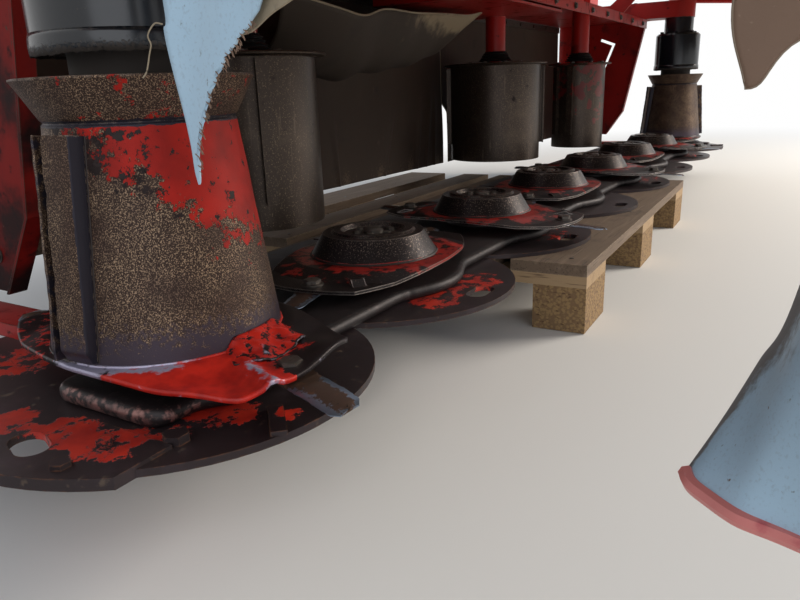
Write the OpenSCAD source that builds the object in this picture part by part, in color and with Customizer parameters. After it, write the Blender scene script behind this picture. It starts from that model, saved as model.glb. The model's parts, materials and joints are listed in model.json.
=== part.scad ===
// Front-mounted disc mower: eight oval discs on a cutterbar, conical end drums,
// inner crop drums, red hood frame with a folding front guard, and a three-point headstock.
// X runs along the cutterbar, -Y is the direction of travel, +Z is up. Millimetres.

/* [Cutterbar] */
// Distance between neighbouring disc centres
disc_pitch = 435; // [400:1:470]
// Height of the cutterbar housing
bar_h = 20; // [16:1:24]
// Radius of the rounded lobe under each disc
lobe_r = 150; // [130:1:160]
// Half depth of the straight housing between the lobes
bar_half = 118; // [90:1:128]
// How far the housing's square end reaches past the end disc's centre
bar_over = 138; // [128:1:148]
// Radius of the housing's rounded upper edges
bar_edge = 10; // [6:1:11]
// Thickness of a skid plate
skid_t = 8; // [6:1:12]
// Radius of a skid's nose about its disc centre
skid_r = 235; // [215:1:250]
// How far a skid reaches behind the disc centre
skid_rear = 305; // [240:1:330]
// Gap between neighbouring skids
skid_gap = 12; // [6:1:20]
// Radius of the thick shoe on an end skid's outer corner
shoe_r = 252; // [244:1:262]
// Thickness of that shoe
shoe_t = 12; // [9:1:16]

/* [Discs] */
// Half length of an oval disc
disc_long = 218; // [205:1:230]
// Half width of an oval disc
disc_wide = 134; // [131:1:146]
// Half width of an oval disc at its ends
disc_end = 68; // [58:1:85]
// Sheet thickness of a disc
disc_t = 5; // [4:0.5:6]
// Drop from a disc's flat middle to its rim
dish = 7; // [5:1:10]
// Radius of a disc's flat middle
disc_flat_r = 136; // [130:1:142]
// Foot radius of a hub cap
cap_foot_r = 104; // [90:1:112]
// Top radius of a hub cap
cap_top_r = 84; // [70:1:88]
// Height of a hub cap
cap_h = 36; // [28:1:44]
// Height of a pressed lifter rib on a disc
rib_h = 7; // [4:0.5:9]
// Degrees by which the whole row stands turned past its first disc's long axis
row_turn = 5; // [0:1:20]

/* [Knives] */
// Length of a knife past its bolt
knife_len = 93; // [85:1:97]
// Radius of the circle of knife bolts
knife_bolt_r = 192; // [185:1:198]
// Width of a knife
knife_w = 42; // [36:1:48]
// Thickness of a knife
knife_t = 4; // [3:0.5:5]
// Degrees by which the knives trail on their bolts
knife_lean = 11; // [0:1:15]

/* [End drums] */
// Foot radius of an end drum
cone_foot_r = 127; // [118:1:129]
// Top radius of an end drum
cone_top_r = 98; // [88:1:106]
// Height of an end drum's cone
cone_h = 236; // [210:1:260]
// Rim radius of the flared collar
collar_r = 120; // [112:1:128]
// Height of the flared collar
collar_h = 42; // [34:1:48]
// Wall thickness of drums and collars
drum_wall = 5; // [3:0.5:7]
// Width of an end drum's raised vane
vane_w = 46; // [34:1:54]
// Height of that vane above the drum's wall
vane_h = 15; // [10:1:20]
// Height of the fin that stands beside it
fin_h = 26; // [18:1:32]

/* [Inner drums] */
// Radius of the inner drum nearest the left end
inner_r = 136; // [120:1:140]
// Radius of the middle inner drum
inner_mid_r = 152; // [140:1:158]
// Radius of the inner drum nearest the right end
inner_small_r = 99; // [90:1:110]
// Height of an inner drum's foot above the disc plane
inner_foot = 16; // [13:1:24]
// Height of an inner drum's top above the disc plane
inner_top = 330; // [300:1:350]
// Width of the flange that stands out round an inner drum's top
inner_flange = 20; // [8:1:22]
// Height of a vane on an inner drum
inner_vane_h = 14; // [10:1:18]
// Width of that vane's folded leaf
inner_vane_w = 22; // [14:1:30]
// Radius of a post that hangs an inner drum
post_r = 33; // [28:1:40]

/* [Hood frame] */
// Height of the roof's underside above the disc plane
roof_z = 522; // [490:1:560]
// Sheet thickness of the roof
roof_t = 4; // [3:0.5:6]
// Distance of the roof's front edge behind the bar line
roof_front = 136; // [130:1:150]
// Distance of the roof's rear edge behind the bar line
roof_rear = 565; // [550:1:590]
// Height of the folded lip on the roof's edges
roof_lip = 34; // [20:1:45]
// Thickness of a side plate
side_t = 6; // [5:0.5:10]
// Side of the square main beam
beam_w = 140; // [120:1:160]
// Wall of the main beam
beam_wall = 8; // [6:1:12]
// Height of the drive arms on the roof
arm_h = 70; // [60:1:76]
// Width of a drive arm
arm_w = 130; // [110:1:150]

/* [End housings] */
// Radius of an end housing
housing_r = 95; // [90:1:104]
// Height of an end housing's foot above the disc plane
housing_z = 305; // [300:1:320]
// Height of an end housing's shoulder above the disc plane
housing_top = 458; // [440:1:480]
// Radius of the stem between the shoulder and the drive arm
stem_r = 62; // [54:1:72]
// Radius of the coupling that enters the collar
neck_r = 64; // [50:1:80]

/* [Headstock] */
// Distance of the headstock's link pins behind the bar line
hitch_y = 720; // [680:1:760]
// Height of the lower link pins above the floor
hitch_z = 520; // [480:1:560]
// Distance between the shoulders of the lower link pins
hitch_span = 760; // [720:1:800]
// Height of the top link hole above the lower pins
mast_h = 610; // [580:1:640]
// Radius of a lower link pin
link_pin_r = 14; // [13:0.5:18]
// Length of a lower link pin
link_pin_l = 82; // [70:1:95]
// Radius of the top link hole
top_hole_r = 12.75; // [12:0.25:16]
// Radius of the input shaft
input_r = 17.4; // [16:0.1:20]
// Length of the input shaft outside the gearbox
input_l = 88; // [70:1:110]

/* [Front guard] */
// Distance of the front rail ahead of the bar line
guard_reach = 640; // [600:1:680]
// How far the guard stands out past the end discs
guard_over = 300; // [292:1:330]
// Radius of the guard's tubes
tube_r = 17; // [14:1:20]
// Height of the guard's hinge above the disc plane
guard_z = 632; // [624:1:660]
// Drop from the hinge to the front rail
guard_drop = 60; // [40:1:90]
// Thickness of a canvas
canvas_t = 3; // [2:0.5:5]
// Depth of the torn front skirt below the rail
skirt_h = 170; // [120:1:220]

/* [Pallet] */
// Length of the pallet along the cutterbar
pallet_l = 1200; // [1100:1:1300]
// Depth of the pallet
pallet_w = 1000; // [960:1:1100]
// Height of the pallet
pallet_h = 130; // [115:1:150]
// Thickness of a pallet board
board_t = 22; // [18:1:24]
// Degrees by which the pallet lies turned under the machine
pallet_turn = 1.7; // [0:0.1:3]

/* [Hidden] */
$fn = 64;

disc_count = 8;
eps = 0.01;          // overlap of two solids that are one piece
past = 1;            // how far a cutter reaches past what it cuts
seat_gap = 0.3;      // clearance of a piece that turns or rests on its seat
run_gap = 6;         // clearance between a disc and what it passes over

// Heights above the floor
skid_z = pallet_h;
bar_z = skid_z + skid_t;
bar_top = bar_z + bar_h;
knife_bolt_drop = 5;
knife_z = bar_top + run_gap + knife_bolt_drop;
disc_z = knife_z + knife_t + disc_t + dish;

// The origin lies under the middle of the whole machine
cross_w = 90;
front_reach = guard_reach + tube_r;
rear_reach = hitch_y + cross_w / 2;
bar_y = (front_reach - rear_reach) / 2;

row_half = (disc_count - 1) / 2;
function disc_x(n) = (n - 1 - row_half) * disc_pitch;
half_len = row_half * disc_pitch;
guard_half = half_len + guard_over;

// Hub and spindle that carry a disc
hub_r = 72;
hub_h = 10;
spindle_r = 22;
spindle_l = 20;
bore_r = spindle_r + seat_gap;
bore_floor = 6;

// Inner drums: columns are place along the row in pitches from disc 1, distance behind the bar line, radius
inner_table = [
    [1.2, 336, inner_r],
    [4.1, 362, inner_mid_r],
    [5.28, 228, inner_small_r]
];
// Degrees at which each inner drum's vanes stand; the opposite side has the same again
vane_turns = [[235], [-66], [145, 180]];
function inner_x(i) = (inner_table[i - 1][0] - row_half) * disc_pitch;
function inner_y(i) = inner_table[i - 1][1];
function inner_rad(i) = inner_table[i - 1][2];
inner_spindle_r = 20;
inner_spindle_l = 60;
inner_plate_t = 8;
boot_h = 30;
boot_r = 56;

module at_bar(x = 0, y = 0, z = 0) {
    translate([x, bar_y + y, z]) children();
}

module rounded_slab(r, h, edge) {
    rotate_extrude($fn = 96)
        union() {
            square([r - edge, h]);
            square([r, h - edge]);
            translate([r - edge, h - edge]) circle(r = edge, $fn = 32);
        }
}

// A flat-footed section with rounded upper corners
module rounded_section(half, h, edge) {
    translate([-half, 0]) square([2 * half, h - edge]);
    translate([-half + edge, 0]) square([2 * (half - edge), h]);
    for (side = [-1, 1]) translate([side * (half - edge), h - edge]) circle(r = edge, $fn = 32);
}

// Cutterbar housing: a flat body with a rounded lobe and a hub under each disc, cut square at its ends
module cutterbar() {
    end_x = half_len + bar_over;
    color("dimgray")
        difference() {
            union() {
                intersection() {
                    union() {
                        at_bar(-end_x, 0, bar_z)
                            rotate([90, 0, 90])
                                linear_extrude(2 * end_x) rounded_section(bar_half, bar_h, bar_edge);
                        for (n = [1:disc_count])
                            at_bar(disc_x(n), 0, bar_z) rounded_slab(lobe_r, bar_h, bar_edge);
                    }
                    at_bar(0, lobe_r + past, bar_z)
                        rotate([90, 0, 0])
                            linear_extrude(2 * (lobe_r + past)) rounded_section(end_x, bar_h, bar_edge);
                }
                for (n = [1:disc_count])
                    at_bar(disc_x(n), 0, bar_z) cylinder(r = hub_r, h = bar_h + hub_h);
            }
            for (n = [1:disc_count])
                at_bar(disc_x(n), 0, bar_z + bore_floor) cylinder(r = bore_r, h = bar_h + hub_h);
        }
}

// Skids: round-nosed plates under the bar; each end one has an oval hole, a thick shoe, bolts and a strap
skid_hole_r = 16;
skid_hole_l = 30;
skid_hole_x = 199;
skid_hole_y = 24;
nose_hole_y = 195;
shoe_in = 140;
shoe_low = 22;
shoe_high = 150;
strap_w = 16;
strap_l = 58;
strap_t = 5;
strap_x = 76;
strap_y = 222;
bolt_h = 9;
// Bolts on an end skid: columns are distance outside and ahead of the end disc's centre, head radius
skid_bolts = [
    [128, 142, 13],
    [212, 92, 10],
    [168, 92, 8]
];
module skid_outline(out_left, out_right) {
    intersection() {
        union() {
            circle(r = skid_r, $fn = 96);
            translate([-skid_r, 0]) square([2 * skid_r, skid_rear]);
        }
        translate([-out_left, -skid_r]) square([out_left + out_right, skid_r + skid_rear]);
    }
}

module oval(l, r) {
    square([l, 2 * r], center = true);
    for (side = [-1, 1]) translate([side * l / 2, 0]) circle(r = r, $fn = 32);
}

// The thick outer corner, drawn for the left end
module shoe_outline() {
    intersection() {
        circle(r = shoe_r, $fn = 96);
        translate([-shoe_r, -shoe_high]) square([shoe_r - shoe_in, shoe_high - shoe_low]);
    }
}

module end_skid() {
    difference() {
        union() {
            linear_extrude(skid_t) skid_outline(skid_r, (disc_pitch - skid_gap) / 2);
            linear_extrude(shoe_t) shoe_outline();
            for (b = skid_bolts)
                translate([-b[0], -b[1], skid_t - eps]) cylinder(r = b[2], h = bolt_h, $fn = 6);
            translate([-strap_x, -strap_y, skid_t - eps])
                rotate(44) translate([0, -strap_w / 2, 0]) cube([strap_l, strap_w, strap_t]);
        }
        translate([-skid_hole_x, -skid_hole_y, -past])
            linear_extrude(shoe_t + 2 * past) rotate(70) oval(skid_hole_l, skid_hole_r);
    }
}

module skids() {
    inner = (disc_pitch - skid_gap) / 2;
    color("firebrick") {
        at_bar(disc_x(1), 0, skid_z) end_skid();
        at_bar(disc_x(disc_count), 0, skid_z) mirror([1, 0, 0]) end_skid();
        for (n = [2:disc_count - 1])
            at_bar(disc_x(n), 0, skid_z)
                linear_extrude(skid_t)
                    difference() {
                        skid_outline(inner, inner);
                        translate([0, -nose_hole_y]) oval(skid_hole_l, skid_hole_r);
                    }
    }
}

// Brackets that tie the bar's ends to the side plates
bracket_w = 60;
bracket_foot = 120;
side_bottom = 8;
module bar_brackets() {
    color("firebrick")
        for (side = [-1, 1])
            at_bar(side * half_len - bracket_w / 2, 0, bar_z) {
                translate([0, lobe_r, 0]) cube([bracket_w, roof_rear - lobe_r, bar_h]);
                translate([0, roof_rear - bracket_foot, bar_h - eps])
                    cube([bracket_w, bracket_foot, disc_z + side_bottom - bar_z - bar_h + eps]);
            }
}

// Side plate with a slanting flanged front edge and an angled slot
side_mid_y = 228;
side_mid_z = 118;
side_low_y = 305;
side_top_y = roof_front + 8;
edge_w = 26;
slot_y = 287;
slot_z = 420;
slot_turn = 21;
slot_w = 12;
slot_long = 112;
slot_short = 72;
module side_plate(side) {
    low = disc_z + side_bottom;
    top = disc_z + roof_z;
    front = [[side_low_y, low], [side_mid_y, disc_z + side_mid_z], [side_top_y, top]];
    rear = roof_rear - side_t;
    color("firebrick")
        at_bar(side * half_len, 0, 0)
            union() {
                translate([-side_t / 2, 0, 0])
                    rotate([90, 0, 90])
                        linear_extrude(side_t)
                            difference() {
                                polygon(concat(front, [[rear, top], [rear, low]]));
                                translate([slot_y, disc_z + slot_z])
                                    rotate(slot_turn) {
                                        square([slot_short, slot_w]);
                                        translate([0, -slot_long]) square([slot_w, slot_long + slot_w]);
                                    }
                            }
                translate([-edge_w / 2, 0, 0])
                    rotate([90, 0, 90])
                        linear_extrude(edge_w)
                            polygon(concat(front, [for (k = [2:-1:0]) front[k] + [side_t, 0]]));
            }
}
module side_plate_left() { side_plate(-1); }
module side_plate_right() { side_plate(1); }

// Hood roof with folded lips and the lugs that hinge the front guard
lug_t = 12;
lug_x = [-1050, -360, 360, 1050];
lug_w = 60;
lug_foot = 90;
hinge_y = 70;
hinge_r = tube_r + seat_gap;
roof_over = 20;
lip_in = 30;
module guard_lug() {
    difference() {
        union() {
            translate([0, guard_z]) circle(r = lug_w / 2);
            polygon([
                [-lug_w / 2, guard_z], [lug_w / 2, guard_z],
                [roof_front - hinge_y + lug_foot, roof_z + roof_t - eps],
                [roof_front - hinge_y, roof_z + roof_t - eps]
            ]);
        }
        translate([0, guard_z]) circle(r = hinge_r);
    }
}

module roof() {
    top = disc_z + roof_z;
    color("firebrick")
        union() {
            at_bar(-half_len - roof_over, roof_front, top)
                cube([2 * (half_len + roof_over), roof_rear - roof_front, roof_t]);
            at_bar(-half_len + lip_in, roof_front, top - roof_lip)
                cube([2 * (half_len - lip_in), roof_t, roof_lip + eps]);
            for (x = lug_x)
                at_bar(x - lug_t / 2, hinge_y, disc_z) rotate([90, 0, 90]) linear_extrude(lug_t) guard_lug();
        }
}

// Carrier plate under the roof that holds the middle drum's post
carrier_half = 300;
carrier_z = 478;
carrier_t = 8;
carrier_front = roof_front + 12;
carrier_l = roof_rear - roof_front - 90;
module centre_carrier() {
    color("firebrick")
        at_bar(0, carrier_front, disc_z + carrier_z) {
            translate([-carrier_half, 0, 0]) cube([2 * carrier_half, carrier_l, carrier_t]);
            for (x = [-carrier_half, carrier_half - carrier_t])
                translate([x, 0, carrier_t - eps])
                    cube([carrier_t, carrier_l, roof_z - carrier_z - carrier_t + eps]);
        }
}

// Main beam: a square tube along the roof's rear, closed by plates set into its ends
beam_y = roof_rear - beam_w;
beam_z = disc_z + roof_z + roof_t;
beam_over = 40;
end_plate_in = 12;
module main_beam() {
    color("firebrick")
        at_bar(-half_len - beam_over, beam_y, beam_z)
            difference() {
                cube([2 * (half_len + beam_over), beam_w, beam_w]);
                for (x = [end_plate_in - beam_w, 2 * (half_len + beam_over) - end_plate_in])
                    translate([x, beam_wall, beam_wall])
                        cube([beam_w, beam_w - 2 * beam_wall, beam_w - 2 * beam_wall]);
            }
}

// Headstock: two cheek plates, a lower cross tube with collared link pins and a top link clevis
cheek_t = 12;
cheek_x = 190;
cheek_drop = 60;
cheek_hole_r = 40;
ear_gap = 54;
ear_t = 14;
ear_r = 36;
ear_in = 20;
bridge_t = 30;
bridge_w = 80;
bridge_drop = 60;
pin_collar_r = 26;
pin_collar_t = 8;
module cheek_plate() {
    half = cross_w / 2;
    top = hitch_z + mast_h - bridge_drop;
    difference() {
        polygon([
            [roof_rear, beam_z + beam_w], [roof_rear, beam_z - cheek_drop], [hitch_y - half, hitch_z - half],
            [hitch_y + half, hitch_z - half], [hitch_y + half, hitch_z + 1.3 * cross_w],
            [hitch_y - ear_in + bridge_w / 2, top], [hitch_y - ear_in - bridge_w / 2, top]
        ]);
        translate([hitch_y - ear_in, hitch_z + 0.42 * mast_h]) circle(r = cheek_hole_r);
    }
}

module top_ear() {
    difference() {
        union() {
            circle(r = ear_r);
            translate([-ear_r, -bridge_drop - bridge_t / 2]) square([2 * ear_r, bridge_drop + bridge_t / 2]);
        }
        circle(r = top_hole_r);
    }
}

module headstock() {
    top_z = hitch_z + mast_h;
    color("firebrick")
        union() {
            for (side = [-1, 1]) {
                at_bar(side * cheek_x - cheek_t / 2, 0, 0)
                    rotate([90, 0, 90]) linear_extrude(cheek_t) cheek_plate();
                at_bar(side * hitch_span / 2, hitch_y, hitch_z)
                    rotate([0, side * 90, 0]) cylinder(r = link_pin_r, h = link_pin_l);
                at_bar(side * (hitch_span / 2 - pin_collar_t), hitch_y, hitch_z)
                    rotate([0, side * 90, 0]) cylinder(r = pin_collar_r, h = pin_collar_t);
                at_bar(side * (ear_gap + ear_t) / 2 - ear_t / 2, hitch_y - ear_in, top_z)
                    rotate([90, 0, 90]) linear_extrude(ear_t) top_ear();
            }
            at_bar(-hitch_span / 2 + pin_collar_t - eps, hitch_y - cross_w / 2, hitch_z - cross_w / 2)
                cube([hitch_span - 2 * (pin_collar_t - eps), cross_w, cross_w]);
            at_bar(-cheek_x - cheek_t / 2, hitch_y - ear_in - bridge_w / 2, top_z - bridge_drop - bridge_t)
                cube([2 * cheek_x + cheek_t, bridge_w, bridge_t]);
        }
}

// Gearbox on the beam, with the input shaft's boss facing the headstock
box_w = 200;
box_h = 170;
box_r = 62;
foot_t = 24;
box_in = 14;
boss_in = 8;
boss_l = 26;
boss_bore_l = 20;
drive_z = beam_z + beam_w + 92;
module gearbox() {
    mid_y = beam_y + beam_w / 2;
    foot_z = beam_z + beam_w;
    color("darkslategray")
        difference() {
            union() {
                at_bar(-box_w / 2, beam_y, foot_z) cube([box_w, beam_w, foot_t]);
                at_bar(-box_w / 2 + box_in, beam_y + box_in, foot_z)
                    cube([box_w - 2 * box_in, beam_w - 2 * box_in, box_h]);
                at_bar(-box_w / 2, mid_y, drive_z) rotate([0, 90, 0]) cylinder(r = box_r, h = box_w);
                at_bar(0, mid_y, drive_z)
                    rotate([-90, 0, 0]) cylinder(r = box_r - boss_in, h = beam_w / 2 + boss_l);
            }
            at_bar(0, roof_rear + boss_l - boss_bore_l, drive_z)
                rotate([-90, 0, 0]) cylinder(r = input_r + seat_gap, h = boss_bore_l + past);
        }
}

// Input shaft: round where it enters the boss, splined outside it
spline_count = 6;
spline_in = 2.7;
groove_w = 8.5;
spline_l = 66;
module input_shaft() {
    plain_l = input_l + boss_bore_l - spline_l;
    color("silver")
        at_bar(0, roof_rear + boss_l - boss_bore_l + seat_gap, drive_z)
            rotate([-90, 0, 0])
                difference() {
                    cylinder(r = input_r, h = plain_l + spline_l);
                    for (k = [0:spline_count - 1])
                        rotate(k * 360 / spline_count)
                            translate([input_r - spline_in, -groove_w / 2, plain_l])
                                cube([spline_in + past, groove_w, spline_l + past]);
                }
}

// Cross drive tubes from the gearbox to the boxes on the drive arms
drive_r = 38;
arm_box_h = drive_z - beam_z - beam_w + drive_r + 14;
module drive_tubes() {
    color("black")
        for (side = [-1, 1])
            at_bar(side > 0 ? box_w / 2 : -half_len + arm_w / 2, beam_y + beam_w / 2, drive_z)
                rotate([0, 90, 0]) cylinder(r = drive_r, h = half_len - arm_w / 2 - box_w / 2);
}

// Drive arms: boxes over the roof that carry the end housings, with a raised box behind
arm_back = 30;
module drive_arms() {
    color("firebrick")
        for (side = [-1, 1])
            at_bar(side * half_len - arm_w / 2, 0, beam_z) {
                cube([arm_w, beam_y, arm_h]);
                translate([arm_w / 2, 0, 0]) cylinder(r = arm_w / 2, h = arm_h);
                translate([0, beam_y - arm_back, arm_h - eps])
                    cube([arm_w, arm_back, beam_w + arm_box_h - arm_h + eps]);
                translate([0, beam_y - eps, beam_w]) cube([arm_w, beam_w, arm_box_h]);
            }
}

// End housings: smooth casing with a bolted shoulder, a stem up to the arm and a coupling in the collar
neck_z = cone_h + 30;
shoulder = 8;
stem_top = roof_z + roof_t;
shoulder_bolts = 6;
shoulder_bolt_r = 8;
module end_housings() {
    color("#15181c")
        for (side = [-1, 1])
            at_bar(side * half_len, 0, disc_z) {
                rotate_extrude($fn = 96)
                    polygon([
                        [0, neck_z], [neck_r, neck_z], [neck_r, housing_z], [housing_r - 3, housing_z],
                        [housing_r, housing_z + 3], [housing_r, housing_top - shoulder],
                        [housing_r - shoulder, housing_top], [stem_r, housing_top], [stem_r, stem_top],
                        [0, stem_top]
                    ]);
                for (k = [0:shoulder_bolts - 1])
                    rotate(k * 360 / shoulder_bolts)
                        translate([(stem_r + housing_r - shoulder) / 2, 0, housing_top - eps])
                            cylinder(r = shoulder_bolt_r, h = bolt_h, $fn = 6);
            }
}

// Posts that hang the inner drums, each with its spindle and a rubber boot
boot_z = inner_top + inner_plate_t;
module drum_posts() {
    color("firebrick")
        for (i = [1:3]) {
            top = (i == 2) ? carrier_z : roof_z;
            at_bar(inner_x(i), inner_y(i), disc_z) {
                translate([0, 0, boot_z + boot_h]) cylinder(r = post_r, h = top - boot_z - boot_h);
                translate([0, 0, inner_top - inner_spindle_l])
                    cylinder(r = inner_spindle_r, h = inner_spindle_l + inner_plate_t + boot_h + eps);
            }
        }
}

module drum_boots() {
    color("black")
        for (i = [1:3])
            at_bar(inner_x(i), inner_y(i), disc_z + boot_z)
                rotate_extrude()
                    polygon([
                        [inner_spindle_r + seat_gap, 0], [boot_r, 0], [post_r + 4, boot_h],
                        [inner_spindle_r + seat_gap, boot_h]
                    ]);
}

// Section of a vane folded from sheet: a wall that stands on the drum and a leaf that lies over it
module vane_section(rise, leaf, t, root) {
    translate([-root, leaf / 2 - t]) square([root + rise, t]);
    translate([rise - t, -leaf / 2]) square([t, leaf]);
}

// Inner drum: open-footed shell with a top plate, a flange and folded vanes that stop short of the foot
inner_vane_foot = 50;
inner_vane_top = 12;
module inner_drum(i) {
    r = inner_rad(i);
    h = inner_top - inner_foot;
    hole = inner_spindle_r + seat_gap;
    color("#54483f")
        at_bar(inner_x(i), inner_y(i), disc_z + inner_foot)
            union() {
                rotate_extrude($fn = 96)
                    polygon([
                        [hole, h - inner_plate_t], [r - drum_wall, h - inner_plate_t], [r - drum_wall, 0],
                        [r, 0], [r, h - drum_wall], [r + inner_flange, h - drum_wall],
                        [r + inner_flange, h], [hole, h]
                    ]);
                for (opposite = [0, 180], turn = vane_turns[i - 1])
                    rotate(turn + opposite)
                        translate([r, 0, inner_vane_foot])
                            linear_extrude(h - inner_vane_foot - inner_vane_top)
                                vane_section(inner_vane_h, inner_vane_w, drum_wall, drum_wall / 2);
            }
}
module inner_drum_1() { inner_drum(1); }
module inner_drum_2() { inner_drum(2); }
module inner_drum_3() { inner_drum(3); }

// Oval disc: a dished sheet cut to an oval, with hub spindle, cap, ribs and knife bolts
side_arc_r = (disc_long * disc_long + pow(disc_wide - disc_end, 2)) / (2 * (disc_wide - disc_end));
function is_odd(n) = n % 2 == 1;
function disc_turn(n) = is_odd(n) ? 90 - row_turn : row_turn;
slope_l = 40;
bolt_r = 9;
bolt_head_r = 15;
bolt_stub = 4;
rib_place = [150, 60];
rib_turn = 40;
rib_w = 20;
module dished_sheet() {
    rotate_extrude($fn = 96)
        polygon([
            [0, -disc_t], [disc_flat_r, -disc_t], [disc_flat_r + slope_l, -disc_t - dish],
            [disc_long, -disc_t - dish], [disc_long, -dish], [disc_flat_r + slope_l, -dish],
            [disc_flat_r, 0], [0, 0]
        ]);
}

module oval_sheet() {
    intersection() {
        dished_sheet();
        translate([0, disc_wide - side_arc_r, -disc_long])
            cylinder(r = side_arc_r, h = 2 * disc_long, $fn = 96);
        translate([0, side_arc_r - disc_wide, -disc_long])
            cylinder(r = side_arc_r, h = 2 * disc_long, $fn = 96);
    }
}

cap_ring_in = 14;
cap_ring_w = 16;
cap_ring_h = 4;
cap_foot_t = 3;
cap_hollow = 3;
module hub_cap() {
    ring_out = cap_top_r - cap_ring_in;
    ring_in = ring_out - cap_ring_w;
    rotate_extrude($fn = 96)
        polygon([
            [0, -eps], [cap_foot_r, -eps], [cap_foot_r, cap_foot_t], [cap_top_r, cap_h], [ring_out, cap_h],
            [ring_out - cap_ring_h, cap_h + cap_ring_h], [ring_in, cap_h + cap_ring_h],
            [ring_in - cap_ring_h, cap_h - cap_hollow], [0, cap_h - cap_hollow]
        ]);
}

module knife_bolt() {
    cylinder(r = bolt_r, h = knife_t + disc_t + bolt_stub);
    translate([0, 0, seat_gap - knife_bolt_drop]) cylinder(r = bolt_head_r, h = knife_bolt_drop - seat_gap);
}

module lifter_rib() {
    rotate([90, 0, rib_turn])
        linear_extrude(rib_w) polygon([[-34, 0], [30, 0], [12, rib_h]]);
}

module disc(n) {
    capped = n > 1 && n < disc_count;
    color("firebrick")
        at_bar(disc_x(n), 0, disc_z)
            rotate(disc_turn(n))
                union() {
                    oval_sheet();
                    translate([0, 0, -disc_t - spindle_l]) cylinder(r = spindle_r, h = spindle_l + eps);
                    if (capped) hub_cap();
                    for (turn = [0, 180])
                        rotate(turn) {
                            translate([knife_bolt_r, 0, -dish - disc_t - knife_t]) knife_bolt();
                            translate([rib_place[0], rib_place[1], -dish - eps]) lifter_rib();
                        }
                }
}
module disc_1() { disc(1); }
module disc_2() { disc(2); }
module disc_3() { disc(3); }
module disc_4() { disc(4); }
module disc_5() { disc(5); }
module disc_6() { disc(6); }
module disc_7() { disc(7); }
module disc_8() { disc(8); }

// Knives: two flat blades a disc, each trailing on its bolt; the trail of the two knives in degrees.
// The left end's rear knife has swung the other way, as in the photograph
function knife_trail(n) = (n == 1) ? [2.2 * knife_lean, -knife_lean]
    : (is_odd(n) ? [-knife_lean, -knife_lean] : [knife_lean, knife_lean]);
tip_in = 4;
tip_back = 8;
module knife_outline() {
    difference() {
        union() {
            circle(r = knife_w / 2);
            polygon([
                [0, -knife_w / 2], [knife_len, -knife_w / 2 + tip_in],
                [knife_len - tip_back, knife_w / 2 - tip_in], [0, knife_w / 2]
            ]);
        }
        circle(r = bolt_r + seat_gap);
    }
}

module knives(n) {
    color("silver")
        at_bar(disc_x(n), 0, disc_z - dish - disc_t - knife_t)
            rotate(disc_turn(n))
                for (k = [0, 1])
                    rotate(180 * k)
                        translate([knife_bolt_r, 0, 0])
                            rotate(knife_trail(n)[k]) linear_extrude(knife_t) knife_outline();
}
module knives_1() { knives(1); }
module knives_2() { knives(2); }
module knives_3() { knives(3); }
module knives_4() { knives(4); }
module knives_5() { knives(5); }
module knives_6() { knives(6); }
module knives_7() { knives(7); }
module knives_8() { knives(8); }

// End drum: conical shell with a flared collar, two folded vanes and a fin beside each
cone_lean = atan2(cone_foot_r - cone_top_r, cone_h);
vane_foot = 4;
vane_head = 8;
fin_t = 5;
fin_place = 31;
vane_root = 8;
drum_turns = [182, 120];
module vane_and_fin() {
    vane_section(vane_h, vane_w, drum_wall, vane_root);
    translate([-vane_root, -fin_place]) square([vane_root + fin_h, fin_t]);
}

module end_drum(side) {
    top = cone_h + collar_h;
    color("#6b5b4c")
        at_bar(side * half_len, 0, disc_z)
            union() {
                rotate_extrude($fn = 96)
                    polygon([
                        [cone_foot_r - drum_wall, 0], [cone_foot_r, 0], [cone_top_r, cone_h],
                        [collar_r, top], [collar_r - drum_wall, top],
                        [cone_top_r - drum_wall + 1, cone_h + 4],
                        [cone_top_r - drum_wall, cone_h], [0, cone_h], [0, cone_h - drum_wall],
                        [cone_top_r - drum_wall, cone_h - drum_wall]
                    ]);
                for (opposite = [0, 180])
                    rotate(drum_turns[side < 0 ? 0 : 1] + opposite)
                        translate([cone_foot_r, 0, 0])
                            rotate([0, -cone_lean, 0])
                                translate([0, 0, vane_foot])
                                    linear_extrude(cone_h - vane_foot - vane_head) vane_and_fin();
            }
}
module end_drum_left() { end_drum(-1); }
module end_drum_right() { end_drum(1); }

// Front guard: hinge tube, front rail and the arms between them
function guard_arm_z(y) = guard_z - guard_drop * (hinge_y - y) / (hinge_y + guard_reach);
rail_z = guard_z - guard_drop;
arm_x = [-guard_half + tube_r, -0.4 * guard_half, 0, 0.4 * guard_half, guard_half - tube_r];
module tube_x(half, y, z) {
    at_bar(-half, y, z) rotate([0, 90, 0]) cylinder(r = tube_r, h = 2 * half, $fn = 32);
}

module guard_frame() {
    run = hinge_y + guard_reach;
    fall = atan2(guard_drop, run);
    color("firebrick")
        union() {
            tube_x(guard_half, hinge_y, disc_z + guard_z);
            tube_x(guard_half, -guard_reach, disc_z + rail_z);
            for (x = arm_x)
                at_bar(x, hinge_y, disc_z + guard_z)
                    rotate([90 + fall, 0, 0]) cylinder(r = tube_r, h = norm([run, guard_drop]), $fn = 32);
        }
}

// Canvases: plain thin solids. The torn front pieces hang from the rail and lean back under the hood
hang_z = rail_z - tube_r - seat_gap;
module hung_from_rail(lean) {
    drop = hang_z;
    back = drop * tan(lean);
    intersection() {
        at_bar(-guard_half, -guard_reach, disc_z)
            rotate([90, 0, 90])
                linear_extrude(2 * guard_half)
                    polygon([
                        [-canvas_t / 2, hang_z], [canvas_t / 2, hang_z], [back + canvas_t / 2, 0],
                        [back - canvas_t / 2, 0]
                    ]);
        at_bar(0, 0, disc_z)
            rotate([90, 0, 0]) translate([0, 0, -guard_reach]) linear_extrude(3 * guard_reach) children();
    }
}

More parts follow.
